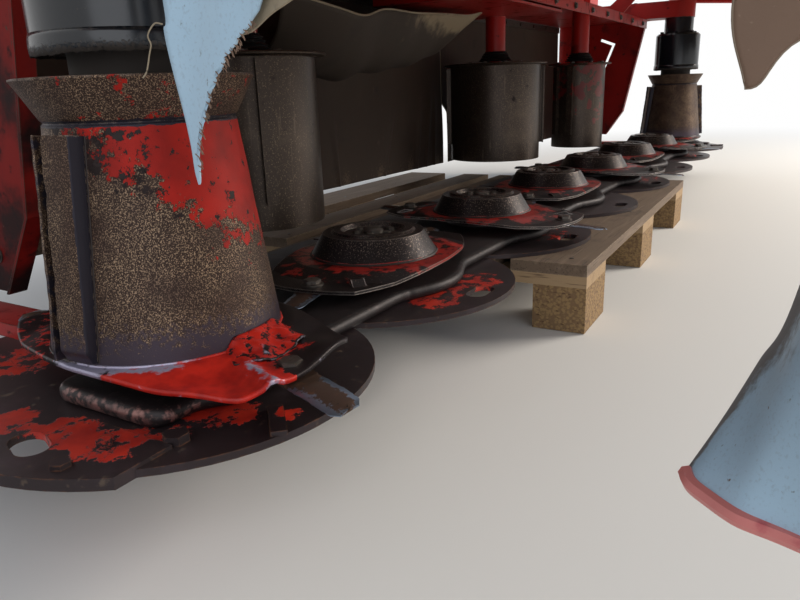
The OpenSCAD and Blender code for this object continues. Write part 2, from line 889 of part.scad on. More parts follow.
module canvas_top() {
    start = hinge_y - lug_w / 2 - run_gap;
    high = guard_arm_z(start);
    color("lightsteelblue")
        at_bar(-guard_half, 0, disc_z + tube_r + 3 * seat_gap)
            rotate([90, 0, 90])
                linear_extrude(2 * guard_half)
                    polygon([
                        [start, high], [-guard_reach, rail_z],
                        [-guard_reach, rail_z + canvas_t], [start, high + canvas_t]
                    ]);
}

// The torn skirt's lower edge: columns are distance from the guard's middle, rise above the skirt's depth
skirt_edge = [[1, 0], [0.62, 20], [0.11, -30], [-0.27, 50], [-0.69, 90]];
skirt_start = -0.77;
module canvas_skirt() {
    color("lightsteelblue")
        hung_from_rail(0)
            polygon(concat(
                [[skirt_start * guard_half, hang_z], [guard_half, hang_z]],
                [for (e = skirt_edge) [e[0] * guard_half, hang_z - skirt_h + e[1]]]
            ));
}

// The strip hangs from the left arm: columns are distance ahead of the bar line, height above the disc plane
strip_edge = [[372, 345], [396, 226], [404, 224], [444, 330]];
strip_from = 352;
strip_to = 520;
module canvas_strip() {
    drop = tube_r + 3 * seat_gap;
    color("aliceblue")
        at_bar(-guard_half + tube_r - canvas_t / 2, 0, disc_z)
            rotate([90, 0, 90])
                linear_extrude(canvas_t)
                    polygon(concat(
                        [for (y = [-strip_to, -strip_from]) [y, guard_arm_z(y) - drop]],
                        [for (e = strip_edge) [-e[0], e[1]]]
                    ));
}

corner_lean = 6;
corner_low = 98;
corner_w = 160;
corner_foot_w = 60;
module canvas_corner() {
    color("lightsteelblue")
        hung_from_rail(corner_lean)
            translate([-guard_half, 0])
                polygon([
                    [0, hang_z], [corner_w, hang_z], [corner_w - 10, corner_low + 160],
                    [corner_foot_w, corner_low], [0, corner_low]
                ]);
}

remnant_lean = 12;
remnant_x = 190;
remnant_low = 262;
module canvas_remnant() {
    color("rosybrown")
        hung_from_rail(remnant_lean)
            translate([remnant_x - guard_half, 0])
                polygon([[0, hang_z], [210, hang_z], [140, remnant_low + 38], [50, remnant_low]]);
}

canvas_low = -4;
split_x = 226;
split_w = 42;
module canvas_rear(x0, x1) {
    color("#6e6156")
        at_bar(x0, roof_rear - side_t - canvas_t - seat_gap, disc_z + canvas_low)
            cube([x1 - x0, canvas_t, roof_z - canvas_low]);
}
rear_edge = half_len - bracket_w / 2 - 2;
module canvas_rear_left() { canvas_rear(-rear_edge, split_x); }
module canvas_rear_right() { canvas_rear(split_x + split_w, rear_edge); }

// The loose canvas that droops under the roof: columns are distance along the bar, height above the discs
valance_y = 430;
valance_edge = [[-130, carrier_z - seat_gap], [-150, 400], [-420, 330], [-700, 318], [-760, roof_z]];
module canvas_valance() {
    beside = -carrier_half - 2;
    color("#6e6156")
        at_bar(0, valance_y, disc_z)
            rotate([90, 0, 0])
                linear_extrude(canvas_t)
                    polygon(concat([[beside, roof_z], [beside, carrier_z - seat_gap]], valance_edge));
}

// Pallet: long deck boards, cross bearers and blocks
pallet_x = -838;
pallet_front = -291;
block_l = 145;
block_w = 100;
// Deck boards: columns are distance from the pallet's front edge, width, how far the left end stands out
deck_table = [
    [0, 145, 0],
    [176, 96, 0],
    [300, 96, 0],
    [412, 84, 0],
    [520, 112, 272],
    [678, 96, 0],
    [855, 145, 0]
];
module on_pallet(x = 0, y = 0, z = 0) {
    at_bar(pallet_x, pallet_front, 0) rotate(pallet_turn) translate([x, y, z]) children();
}

module pallet_deck() {
    color("tan")
        for (board = deck_table)
            on_pallet(-board[2], board[0] * pallet_w / 1000, pallet_h - board_t)
                cube([pallet_l + board[2], board[1], board_t]);
}

module pallet_bearers() {
    color("burlywood")
        for (k = [0:2])
            on_pallet(k * (pallet_l - block_l) / 2, 0, pallet_h - 2 * board_t)
                cube([block_l, pallet_w, board_t]);
}

module pallet_blocks() {
    color("peru")
        for (k = [0:2], m = [0:2])
            on_pallet(k * (pallet_l - block_l) / 2, m * (pallet_w - block_w) / 2, 0)
                cube([block_l, block_w, pallet_h - 2 * board_t]);
}

cutterbar();
skids();
bar_brackets();
side_plate_left();
side_plate_right();
roof();
centre_carrier();
main_beam();
headstock();
gearbox();
drive_tubes();
drive_arms();
end_housings();
drum_posts();
drum_boots();
pallet_deck();
pallet_bearers();
pallet_blocks();
canvas_rear_left();
canvas_rear_right();
canvas_valance();
input_shaft();
inner_drum_1();
inner_drum_2();
inner_drum_3();
disc_1();
disc_2();
disc_3();
disc_4();
disc_5();
disc_6();
disc_7();
disc_8();
knives_1();
knives_2();
knives_3();
knives_4();
knives_5();
knives_6();
knives_7();
knives_8();
end_drum_left();
end_drum_right();
guard_frame();
canvas_top();
canvas_skirt();
canvas_strip();
canvas_corner();
canvas_remnant();
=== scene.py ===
import json
import math
import bpy
import numpy as np
from mathutils import Matrix, Vector


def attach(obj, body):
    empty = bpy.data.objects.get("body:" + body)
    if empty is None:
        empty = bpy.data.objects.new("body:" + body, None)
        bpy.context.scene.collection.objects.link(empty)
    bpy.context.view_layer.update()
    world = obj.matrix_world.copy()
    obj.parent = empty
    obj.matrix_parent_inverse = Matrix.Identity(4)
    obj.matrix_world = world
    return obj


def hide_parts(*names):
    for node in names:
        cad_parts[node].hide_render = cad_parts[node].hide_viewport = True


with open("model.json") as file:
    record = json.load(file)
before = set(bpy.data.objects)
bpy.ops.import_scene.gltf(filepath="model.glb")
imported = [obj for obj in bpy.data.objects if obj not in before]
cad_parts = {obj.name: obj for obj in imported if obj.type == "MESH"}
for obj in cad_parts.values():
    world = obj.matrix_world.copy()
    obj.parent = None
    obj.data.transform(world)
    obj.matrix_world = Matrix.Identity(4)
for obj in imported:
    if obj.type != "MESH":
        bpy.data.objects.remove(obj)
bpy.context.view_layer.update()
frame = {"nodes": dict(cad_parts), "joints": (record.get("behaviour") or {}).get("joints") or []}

nodes = frame["nodes"]
joints = {j["name"]: j for j in frame["joints"]}

# Local measures in mm: x along the cutterbar from its middle, y behind the bar line, z above the disc plane
firstDisc = Vector(joints["rotor_1_spin"]["pos_m"])
pitch = joints["rotor_2_spin"]["pos_m"][0] - firstDisc.x
barY, discZ = firstDisc.y, firstDisc.z
halfRow = -firstDisc.x * 1000
random = np.random.default_rng(7)


def place(points):  # millimetres from the middle of the row of discs, to metres in the frame
    return np.asarray(points, float) / 1000 + np.array([0, barY, discZ])


def hexColour(text):  # sRGB hex to linear: the lower part is divided by 12.92, the rest is a 2.4 power
    value = np.array([int(text[i:i + 2], 16) for i in (1, 3, 5)]) / 255
    linear = np.where(value <= 0.04045, value / 12.92, ((value + 0.055) / 1.055) ** 2.4)
    return (*map(float, linear), 1.0)


def addNode(tree, kind, settings=None):  # adds a node; a value that is a socket becomes a link
    node = tree.nodes.new(kind)
    for name, value in (settings or {}).items():
        if name == "stops":
            ramp = node.color_ramp
            while len(ramp.elements) < len(value):
                ramp.elements.new(0.5)
            for element, (position, colour) in zip(ramp.elements, value):
                element.position = position
                element.color = colour
        elif isinstance(name, int) or name in node.inputs:
            if isinstance(value, bpy.types.NodeSocket):
                tree.links.new(value, node.inputs[name])
            else:
                node.inputs[name].default_value = value
        else:
            setattr(node, name, value)
    return node


# A finish is a base with layers over it. A layer shows where its own noise is high, helped by a place, a
# ring, blobs, edges or a mark painted on the piece. grain is the size of the layer's marks in mm, cover its
# share from 0 to 1, soft the blur of its outline, lift its thickness in mm. place is a direction with an
# offset in mm and a weight per mm, ring a distance in mm from the nearest disc's axis with such a weight
noiseLow, noiseSpan = 0.28, 0.44  # nearly all values of the noise lie in this range
placeLimit = 0.6  # the most that a place or a ring adds to the noise or takes from it
blobFull, blobEnd = 0.55, 1.25  # shares of a blob's reach
edgeWear = {"samples": 6, "radius": 0.004, "from": 0.99, "full": 0.80}  # how far two normals agree
finishes = {}


def coat(grain, cover, soft, colour=None, rough=None, **more):
    given = {"colour": colour, "rough": rough, **more}
    return {"grain": grain, "cover": cover, "soft": soft, **{k: v for k, v in given.items() if v is not None}}


def makeFinish(name, base, layers):
    material = bpy.data.materials.new(name)
    material.use_nodes = True
    tree = material.node_tree
    tree.nodes.clear()
    where = addNode(tree, "ShaderNodeTexCoord").outputs["Object"]
    surface = addNode(tree, "ShaderNodeNewGeometry")
    colour, rough, metal = hexColour(base["colour"]), base["rough"], base.get("metal", 0.0)
    height, worn = None, None
    for layer in layers:
        point = where
        if "stretch" in layer:
            point = addNode(tree, "ShaderNodeMapping", {
                "Vector": where, "Scale": layer["stretch"]}).outputs[0]
        scale = 1000 / layer["grain"]
        if "cells" in layer:
            amount = addNode(tree, "ShaderNodeTexVoronoi", {
                "feature": layer["cells"], "Vector": point, "Scale": scale}).outputs["Distance"]
        else:
            amount = addNode(tree, "ShaderNodeTexNoise", {
                "Vector": point, "Scale": scale, "Detail": layer.get("detail", 4.0),
                "Roughness": layer.get("rugged", 0.55)}).outputs[0]
        distances = []  # what a place or a ring measures, with its offset and weight
        if "place" in layer:
            direction, offset, weight = layer["place"]
            along = addNode(tree, "ShaderNodeVectorMath", {
                "operation": "DOT_PRODUCT", 0: where, 1: Vector(direction).normalized()})
            distances.append((along, offset, weight))
        if "ring" in layer:
            split = addNode(tree, "ShaderNodeSeparateXYZ", {0: where})
            wrapped = addNode(tree, "ShaderNodeMath", {
                "operation": "WRAP", 0: split.outputs[0], 1: pitch, 2: 0.0})
            across = addNode(tree, "ShaderNodeMath", {
                "operation": "SUBTRACT", 0: wrapped.outputs[0], 1: pitch / 2})
            behind = addNode(tree, "ShaderNodeMath", {"operation": "SUBTRACT", 0: split.outputs[1], 1: barY})
            flat = addNode(tree, "ShaderNodeCombineXYZ", {0: across.outputs[0], 1: behind.outputs[0]})
            reach = addNode(tree, "ShaderNodeVectorMath", {"operation": "LENGTH", 0: flat.outputs[0]})
            distances.append((reach, *layer["ring"]))
        for measured, offset, weight in distances:
            shift = addNode(tree, "ShaderNodeMath", {
                "operation": "MULTIPLY_ADD", 0: measured.outputs["Value"], 1: weight * 1000,
                2: -offset * weight})
            held = addNode(tree, "ShaderNodeClamp", {0: shift.outputs[0], 1: -placeLimit, 2: placeLimit})
            amount = addNode(tree, "ShaderNodeMath", {
                "operation": "ADD", 0: amount, 1: held.outputs[0]}).outputs[0]
        for spot, size, strength in layer.get("blobs", ()):  # a place in mm, a reach in mm and a strength
            away = addNode(tree, "ShaderNodeVectorMath", {
                "operation": "SUBTRACT", 0: where, 1: Vector(place(spot))})
            sized = addNode(tree, "ShaderNodeVectorMath", {
                "operation": "DIVIDE", 0: away.outputs[0], 1: Vector(size) / 1000})
            far = addNode(tree, "ShaderNodeVectorMath", {"operation": "LENGTH", 0: sized.outputs[0]})
            blob = addNode(tree, "ShaderNodeMapRange", {
                "interpolation_type": "SMOOTHSTEP", 0: far.outputs["Value"], 1: blobFull, 2: blobEnd,
                3: strength, 4: 0.0})
            amount = addNode(tree, "ShaderNodeMath", {
                "operation": "ADD", 0: amount, 1: blob.outputs[0]}).outputs[0]
        if "edge" in layer:  # an edge is near where a rounded normal leaves the true one
            if worn is None:
                rounded = addNode(tree, "ShaderNodeBevel", {
                    "samples": edgeWear["samples"], "Radius": edgeWear["radius"]})
                same = addNode(tree, "ShaderNodeVectorMath", {
                    "operation": "DOT_PRODUCT", 0: rounded.outputs[0], 1: surface.outputs["Normal"]})
                worn = addNode(tree, "ShaderNodeMapRange", {
                    0: same.outputs["Value"], 1: edgeWear["from"], 2: edgeWear["full"]}).outputs[0]
            amount = addNode(tree, "ShaderNodeMath", {
                "operation": "MULTIPLY_ADD", 0: worn, 1: layer["edge"], 2: amount}).outputs[0]
        if "mark" in layer:
            painted = addNode(tree, "ShaderNodeAttribute", {"attribute_name": layer["mark"]})
            amount = addNode(tree, "ShaderNodeMath", {
                "operation": "MULTIPLY_ADD", 0: painted.outputs["Fac"], 1: layer["weight"],
                2: amount}).outputs[0]
        low = 1.0 - layer["cover"]
        if "cells" not in layer:
            low = noiseLow + noiseSpan * low
        below, above = (1.0, 0.0) if "inside" in layer else (0.0, 1.0)
        mask = addNode(tree, "ShaderNodeMapRange", {
            "interpolation_type": "SMOOTHSTEP", 0: amount, 1: low, 2: low + layer["soft"], 3: below,
            4: above}).outputs[0]
        if "strength" in layer:
            mask = addNode(tree, "ShaderNodeMath", {
                "operation": "MULTIPLY", 0: mask, 1: layer["strength"]}).outputs[0]
        if "colour" in layer:
            paint = hexColour(layer["colour"])
            if "tint" in layer:  # a second colour inside the layer, in larger patches
                patches = addNode(tree, "ShaderNodeTexNoise", {
                    "Vector": point, "Scale": 1000 / layer["tintGrain"], "Detail": 3.0})
                paint = addNode(tree, "ShaderNodeValToRGB", {0: patches.outputs[0], "stops": [
                    (0.36, hexColour(layer["tint"])), (0.62, hexColour(layer["colour"]))]}).outputs[0]
            colour = addNode(tree, "ShaderNodeMix", {
                "data_type": "RGBA", 0: mask, 6: colour, 7: paint}).outputs[2]
        if "rough" in layer:
            rough = addNode(tree, "ShaderNodeMix", {0: mask, 2: rough, 3: layer["rough"]}).outputs[0]
        if "metal" in layer:
            metal = addNode(tree, "ShaderNodeMix", {0: mask, 2: metal, 3: layer["metal"]}).outputs[0]
        if "lift" in layer:
            lifted = addNode(tree, "ShaderNodeMath", {
                "operation": "MULTIPLY", 0: mask, 1: layer["lift"] / 1000}).outputs[0]
            if height is not None:
                lifted = addNode(tree, "ShaderNodeMath", {"operation": "ADD", 0: height, 1: lifted}).outputs[0]
            height = lifted
    shader = addNode(tree, "ShaderNodeBsdfPrincipled", {
        "Base Color": colour, "Roughness": rough, "Metallic": metal, **base.get("shader", {})})
    if height is not None:
        bump = addNode(tree, "ShaderNodeBump", {"Height": height, "Distance": 1.0, "Strength": 1.0})
        tree.links.new(bump.outputs[0], shader.inputs["Normal"])
    addNode(tree, "ShaderNodeOutputMaterial", {"Surface": shader.outputs[0]})
    finishes[name] = material


print("finishes")

# Sprayed red enamel on steel, sun-bleached and oily: deep red, brown stains, dark chips at the edges
makeFinish("redEnamel", {"colour": "#a51c16", "rough": 0.38, "shader": {"Specular IOR Level": 0.35}}, [
    coat(240, 0.5, 0.25, "#801411", 0.45),
    coat(60, 0.36, 0.16, "#561210", 0.6, strength=0.8),
    coat(34, 0.16, 0.08, "#2a1512", 0.75, strength=0.85),
    coat(9, 0.03, 0.03, "#463830", 0.5, edge=0.34, metal=0.5, lift=-0.15),
    coat(1.4, 0.5, 0.4, lift=0.025)])

# The same enamel on the plate behind the near drum, painted darker as shade, with near-black patches so
# that little red is left
makeFinish("shadedEnamel", {"colour": "#7d130e", "rough": 0.55, "shader": {"Specular IOR Level": 0.14}}, [
    coat(110, 0.68, 0.2, "#240a0a", 0.62, detail=5.0, tint="#130b0c", tintGrain=70),
    coat(26, 0.3, 0.12, "#191314", 0.7, strength=0.85),
    coat(9, 0.03, 0.03, "#463830", 0.5, edge=0.34, metal=0.5),
    coat(1.4, 0.5, 0.4, lift=0.025)])

# Skid steel polished and stained by soil: purple-brown, with orange-red paint left in ragged patches
makeFinish("skidSteel", {"colour": "#2e2426", "rough": 0.46, "metal": 0.45}, [
    coat(70, 0.5, 0.3, "#403339", 0.4),
    coat(16, 0.24, 0.12, "#57493f", 0.62),
    coat(22, 0.06, 0.03, "#c8321f", 0.42, detail=8.0, rugged=0.74, tint="#a5241a", tintGrain=30, metal=0.0,
         lift=0.25, blobs=[((x, y, -50), (wide, deep, 70), strength) for x, y, wide, deep, strength in (
             (-1590, 190, 66, 56, 0.24), (-1705, 45, 40, 34, 0.26), (-1690, -30, 40, 46, 0.27),
             (-1692, -98, 38, 40, 0.26), (-1640, -112, 40, 36, 0.2), (-1582, -140, 34, 46, 0.26),
             (-1560, -202, 18, 14, 0.26), (-1150, -150, 70, 50, 0.22), (-1030, -165, 60, 46, 0.22),
             (-640, -150, 80, 50, 0.16), (300, -150, 90, 50, 0.16), (1100, -150, 90, 50, 0.18))]),
    coat(11, 0.06, 0.2, "#66402a", 0.75, edge=0.3, tint="#3f2a20", tintGrain=12, metal=0.2),
    coat(2.2, 0.42, 0.3, lift=0.05)])

# Drum steel worn bare by grass: brown rust with pale specks of bright metal, a smooth purple-grey foot, and
# what is left of the red paint, chipped along its lower border. The wall mark is painted shade, dark in the
# groove under the collar and on the vanes' sides
makeFinish("drumSteel", {"colour": "#33251f", "rough": 0.54, "metal": 0.25,
                         "shader": {"Specular IOR Level": 0.2}}, [
    coat(90, 0.5, 0.35, "#453529", 0.48),
    coat(1.3, 0.56, 0.2, "#a1876e", 0.42, detail=2.0, tint="#6b5547", tintGrain=50, metal=0.4, lift=0.05),
    coat(46, 0.4, 0.3, "#37292a", 0.5, strength=0.5),
    coat(5, 0.0, 0.34, "#403740", 0.36, detail=3.0, mark="smooth", weight=0.62, metal=0.45),
    coat(20, 0.0, 0.03, "#b31f13", 0.52, detail=8.0, rugged=0.74, mark="red", weight=0.5, tint="#8c1810",
         tintGrain=50, metal=0.0, lift=0.2),
    coat(13, 0.0, 0.03, "#2c2120", 0.55, detail=6.0, rugged=0.7, mark="chips", weight=0.215,
         tint="#1f1716", tintGrain=12, lift=-0.12),
    # painted shade: dark in the groove under the collar and on the vanes' sides and fins
    coat(12, 0.0, 0.1, "#2b2830", 0.42, mark="wall", weight=0.7, metal=0.4),
    coat(8, 0.02, 0.06, "#7d6e62", 0.4, edge=0.26, metal=0.5)])

# Gloss enamel over cast housings: blue-black with orange-peel above, pitted and dull at its lower rim
makeFinish("glossBlack", {"colour": "#0e1219", "rough": 0.2}, [
    coat(50, 0.35, 0.3, "#171c24", 0.32),
    coat(14, 0.1, 0.1, "#2f2b28", 0.6, strength=0.6),
    coat(9, 0.5, 0.2, "#14110f", 0.72, place=((0, 0, -1), -1000 * discZ - 306, 0.05)),
    coat(3, 0.24, 0.1, "#39302a", 0.8, lift=-0.12, place=((0, 0, -1), -1000 * discZ - 312, 0.03),
         strength=0.7),
    coat(7, 0.0, 0.04, "#5a524b", 0.5, edge=0.26, metal=0.5),
    coat(6, 0.5, 0.5, lift=0.05)])

# Cast cutterbar, its rounded edge polished by earth: black-brown, with a pale pinkish rim along the edge
# that is a painted highlight
makeFinish("barCasting", {"colour": "#221c1d", "rough": 0.5, "metal": 0.5}, [
    coat(40, 0.45, 0.3, "#342a2b", 0.42),
    coat(4, 0.3, 0.14, "#4a3d39", 0.6, lift=-0.1),
    # painted highlight: the rim mark pales the rounded edge, most near the bar's ends
    coat(9, 0.0, 0.2, "#8c655f", 0.36, detail=5.0, mark="rim", weight=0.34, tint="#5d4a48", tintGrain=30,
         metal=0.6),
    coat(1.8, 0.5, 0.3, lift=0.07)])

# Discs: red paint worn to dark steel in sweeps, a bright ground rim, and dark caps that sparkle with pits
makeFinish("discSteel", {"colour": "#1c1515", "rough": 0.42, "metal": 0.5}, [
    coat(50, 0.4, 0.2, "#30241f", 0.5),
    coat(34, 0.42, 0.06, "#b3261b", 0.38, detail=6.0, rugged=0.66, tint="#8a1c16", tintGrain=60, metal=0.0,
         lift=0.15, ring=(158, -0.0026)),
    coat(60, 0.5, 0.12, "#221b1c", 0.38, metal=0.6, place=((0, 0, 1), 1000 * discZ + 3, 0.14)),
    coat(2.2, 0.26, 0.12, "#7f7166", 0.34, detail=2.0, metal=0.7, lift=0.06, place=((0, 0, 1),
         1000 * discZ + 3, 0.002)),
    coat(8, 0.03, 0.08, "#a59a94", 0.3, edge=0.5, metal=0.85),
    coat(2, 0.45, 0.3, lift=0.04)])

# Inner drums: brown-grey steel with fine upright streaks from the crop, dark red towards the top, and a
# painted reflection of the red posts on the third drum
makeFinish("innerDrumSteel", {"colour": "#3f342d", "rough": 0.36, "metal": 0.6}, [
    coat(80, 0.5, 0.35, "#52463c", 0.32),
    coat(7, 0.3, 0.2, "#64574b", 0.4, stretch=(1, 1, 0.08)),
    coat(2.4, 0.3, 0.1, "#85755f", 0.45, detail=2.0, lift=0.05, strength=0.7),
    coat(30, 0.16, 0.1, "#241c1a", 0.6),
    # painted reflection: the red blob on the third drum stands for the red posts beside it
    coat(40, 0.1, 0.03, "#6d1813", 0.45, detail=6.0, metal=0.0, place=((0.3, -0.2, 1), 1000 * discZ + 330,
         0.001), blobs=[((774, 228, 190), (150, 150, 170), 0.15)]),
    coat(9, 0.0, 0.2, "#7d7062", 0.4, edge=0.22, metal=0.6)])

# Ground knife steel: rust brown with a bluish bright cutting bevel
makeFinish("knifeSteel", {"colour": "#4e3b31", "rough": 0.5, "metal": 0.5}, [
    coat(14, 0.4, 0.2, "#6a4a36", 0.6),
    coat(5, 0.2, 0.1, "#2c2422", 0.6),
    coat(5, 0.0, 0.16, "#7e8b9d", 0.3, mark="ground", weight=0.6, metal=0.85),
    coat(1.5, 0.5, 0.3, lift=0.03)])

# Zinc and plain steel fasteners, dulled
makeFinish("boltSteel", {"colour": "#5b5550", "rough": 0.42, "metal": 0.8}, [
    coat(6, 0.4, 0.15, "#3a2e28", 0.65, metal=0.4),
    coat(3, 0.15, 0.1, "#7a4a2c", 0.8, metal=0.1, lift=0.05)])

# Weld bead: dark oxide with a slight sheen
makeFinish("weldMetal", {"colour": "#2e2624", "rough": 0.5, "metal": 0.5}, [
    coat(5, 0.3, 0.2, "#5d3326", 0.6),
    coat(2, 0.4, 0.3, lift=0.1)])

# Moulded rubber: matt black with grey dust in its folds
makeFinish("bootRubber", {"colour": "#131314", "rough": 0.62}, [
    coat(22, 0.4, 0.25, "#2e2a27", 0.8),
    coat(1.6, 0.5, 0.4, lift=0.03)])

# Old pallet boards: grey-brown sawn softwood with long grain, dark stains and raised splinters
makeFinish("deckWood", {"colour": "#6c5a49", "rough": 0.82}, [
    coat(16, 0.5, 0.3, "#857260", stretch=(0.06, 1, 1)),
    coat(3, 0.42, 0.2, "#4b3d32", stretch=(0.03, 1, 1), lift=-0.35),
    coat(90, 0.3, 0.2, "#3f342c", strength=0.7),
    coat(12, 0.0, 0.15, "#9a866f", edge=0.32)])
makeFinish("bearerWood", {"colour": "#a58a68", "rough": 0.8}, [
    coat(14, 0.5, 0.3, "#8d7355", stretch=(1, 0.06, 1)),
    coat(3, 0.35, 0.2, "#6b5540", stretch=(1, 0.03, 1), lift=-0.3),
    coat(70, 0.2, 0.2, "#57483a", strength=0.6)])
# Pressed block of wood chips: flat pale flakes in brown glue
makeFinish("chipBlock", {"colour": "#7b6043", "rough": 0.85}, [
    coat(6, 0.62, 0.3, "#947850", cells="F1", inside=True, lift=0.4),
    coat(4, 0.36, 0.12, "#573f2a", stretch=(0.4, 0.4, 1)),
    coat(40, 0.2, 0.2, "#54422f", strength=0.6)])

# Coated tarpaulin: pale blue-white outside, dirty streaks and a fine woven grid pressed through the coat
makeFinish("paleTarp", {"colour": "#a9c4d6", "rough": 0.42, "shader": {"Sheen Weight": 0.1}}, [
    coat(80, 0.5, 0.35, "#bfcdd6"),
    coat(22, 0.12, 0.12, "#8c8f90", 0.6, strength=0.7),
    coat(9, 0.34, 0.3, "#8ea2b3", stretch=(1, 1, 0.1), strength=0.55),
    coat(1.6, 0.42, 0.2, "#95a8b7", detail=2.0, strength=0.5),
    coat(5, 0.03, 0.05, "#6b5a52", 0.7),
    coat(18, 0.0, 0.24, "#54463a", 0.75, detail=8.0, rugged=0.68, mark="dirt", weight=0.62, strength=0.88),
    coat(3, 0.08, 0.05, "#5f5a55", strength=0.6),
    coat(2.4, 0.5, 0.5, lift=0.06)])
# The uncoated back of the same tarpaulin: beige woven threads, soiled
makeFinish("tarpBack", {"colour": "#93856f", "rough": 0.85}, [
    coat(60, 0.5, 0.3, "#766956"),
    coat(18, 0.2, 0.15, "#665a4c"),
    coat(2.0, 0.5, 0.3, lift=0.1)])
# Curtain under the hood: the same cloth, brown with dust and sap, and darkened further as painted shade
makeFinish("dustyShadedTarp", {"colour": "#413228", "rough": 0.68,
                         "shader": {"Sheen Weight": 0.08, "Specular IOR Level": 0.3}}, [
    coat(210, 0.5, 0.4, "#4f3f33"),
    coat(60, 0.3, 0.25, "#30251e"),
    coat(22, 0.15, 0.15, "#5c4c40", stretch=(1, 1, 0.35)),
    coat(7, 0.08, 0.06, "#33291f", strength=0.7),
    coat(6, 0.0, 0.25, "#6f5e4c", mark="dirt", weight=0.5),
    coat(2.2, 0.5, 0.4, lift=0.07)])
# Fallen curtain: the uncoated side, grey-brown, with painted light on its upper part
makeFinish("fallenTarp", {"colour": "#3b3027", "rough": 0.8}, [
    coat(120, 0.5, 0.35, "#2f251e"),
    coat(24, 0.25, 0.2, "#261e18"),
    # painted light: the mark pales the front edge and the right part, and the left is left dark as painted
    # shade
    coat(60, 0.0, 0.3, "#8d7d64", mark="dirt", weight=0.5),
    coat(6, 0.08, 0.1, "#655844"),
    coat(2.2, 0.5, 0.3, lift=0.1)])
# The remnant: the same curtain cloth painted lighter, as lit by daylight, warm brown with pale rubbed places
makeFinish("remnantTarp", {"colour": "#7c6250", "rough": 0.66}, [
    coat(90, 0.5, 0.4, "#8c715c"),
    coat(30, 0.3, 0.25, "#5f4a3c"),
    coat(7, 0.12, 0.08, "#4a382c", strength=0.7),
    coat(10, 0.14, 0.12, "#a08a76"),
    coat(2.2, 0.5, 0.4, lift=0.07)])
# Folded edge of the soiled remnant: the same brown cloth, paler
makeFinish("remnantHem", {"colour": "#8b7a68", "rough": 0.7}, [
    coat(12, 0.4, 0.25, "#6c5c4e"),
    coat(3, 0.2, 0.1, "#b3a38e")])
# Welded hem cord of soft plastic: pinkish red, scuffed
makeFinish("hemPlastic", {"colour": "#d07a74", "rough": 0.4}, [
    coat(14, 0.4, 0.2, "#b14a50"),
    coat(5, 0.12, 0.1, "#d8a59d")])
# Disc 1's battered sheet: bright red paint, a bluish bare strip at the drum's foot, dark steel at its lip, and
# a pale painted highlight along its crest
makeFinish("batteredDisc", {"colour": "#251e1f", "rough": 0.42, "metal": 0.5,
                            "shader": {"Specular IOR Level": 0.35}}, [
    coat(12, 0.3, 0.2, "#463b36", 0.5),
    coat(14, 0.0, 0.04, "#cb2a1d", 0.36, detail=7.0, rugged=0.7, mark="paint", weight=0.62, tint="#a81f18",
         tintGrain=18, metal=0.0, lift=0.2),
    coat(10, 0.0, 0.22, "#aca6bb", 0.38, mark="bare", weight=0.6, metal=0.3),
    coat(4, 0.0, 0.16, "#9c8480", 0.36, edge=0.24, metal=0.6)])

nodeFinish = {
    "shadedEnamel": ["side_plate_left"],
    "redEnamel": ["bar_brackets", "side_plate_right", "roof", "centre_carrier", "main_beam", "headstock",
                  "drive_arms", "drum_posts", "guard_frame"],
    "skidSteel": ["skids"],
    "barCasting": ["cutterbar"],
    "glossBlack": ["end_housings", "drive_tubes", "gearbox"],
    "drumSteel": ["end_drum_left", "end_drum_right"],
    "knifeSteel": [f"knives_{n}" for n in range(1, 9)],
    "innerDrumSteel": [f"inner_drum_{n}" for n in range(1, 4)],
    "discSteel": [f"disc_{n}" for n in range(1, 9)],
    "boltSteel": ["input_shaft"],
    "bootRubber": ["drum_boots"],
    "deckWood": ["pallet_deck"],
    "bearerWood": ["pallet_bearers"],
    "chipBlock": ["pallet_blocks"],
    "paleTarp": ["canvas_top", "canvas_skirt", "canvas_strip", "canvas_corner", "canvas_remnant"],
    "dustyShadedTarp": ["canvas_rear_left", "canvas_rear_right", "canvas_valance"]}
for finish, names in nodeFinish.items():
    for name in names:
        nodes[name].data.materials.clear()
        nodes[name].data.materials.append(finishes[finish])


# A shape is an array of points and a list of faces. Here are quads between neighbouring points of a grid of
# rows and columns, wrapped round where it is closed
def gridFaces(rows, columns, closedRows=False, closedColumns=False):
    index = np.arange(rows * columns).reshape(rows, columns)
    if closedRows:
        index = np.vstack([index, index[:1]])
    if closedColumns:
        index = np.hstack([index, index[:, :1]])
    quads = np.stack([index[:-1, :-1], index[:-1, 1:], index[1:, 1:], index[1:, :-1]], -1)
    return quads.reshape(-1, 4).tolist()


# The faces of rings of points in a row, with a flat cap on the first ring and on the last
def cappedFaces(rings, steps):
    last = (rings - 1) * steps
    caps = [list(range(steps - 1, -1, -1)), list(range(last, last + steps))]
    return gridFaces(rings, steps, closedColumns=True) + caps


# A turned shape: each profile point is a radius and a height, swung round the axis
def turned(profile, centre, steps=48, axis="z"):
    profile = np.asarray(profile, float)
    angle = np.linspace(0, 2 * math.pi, steps, endpoint=False)
    ring = np.stack([np.cos(angle), np.sin(angle)], -1)
    heights = np.repeat(profile[:, None, 1:2], steps, 1)
    points = np.concatenate([profile[:, None, :1] * ring[None], heights], -1)
    order = {"z": (0, 1, 2), "x": (2, 0, 1)}[axis]
    return points[..., order].reshape(-1, 3) + np.asarray(centre, float), cappedFaces(len(profile), steps)


def unit(vectors):
    return vectors / np.linalg.norm(vectors, axis=1, keepdims=True)


def guideFor(directions):  # the upright, or x where a direction is itself nearly upright
    return np.where(np.abs(directions[:, 2:3]) > 0.9, np.array([[1.0, 0, 0]]), np.array([[0, 0, 1.0]]))


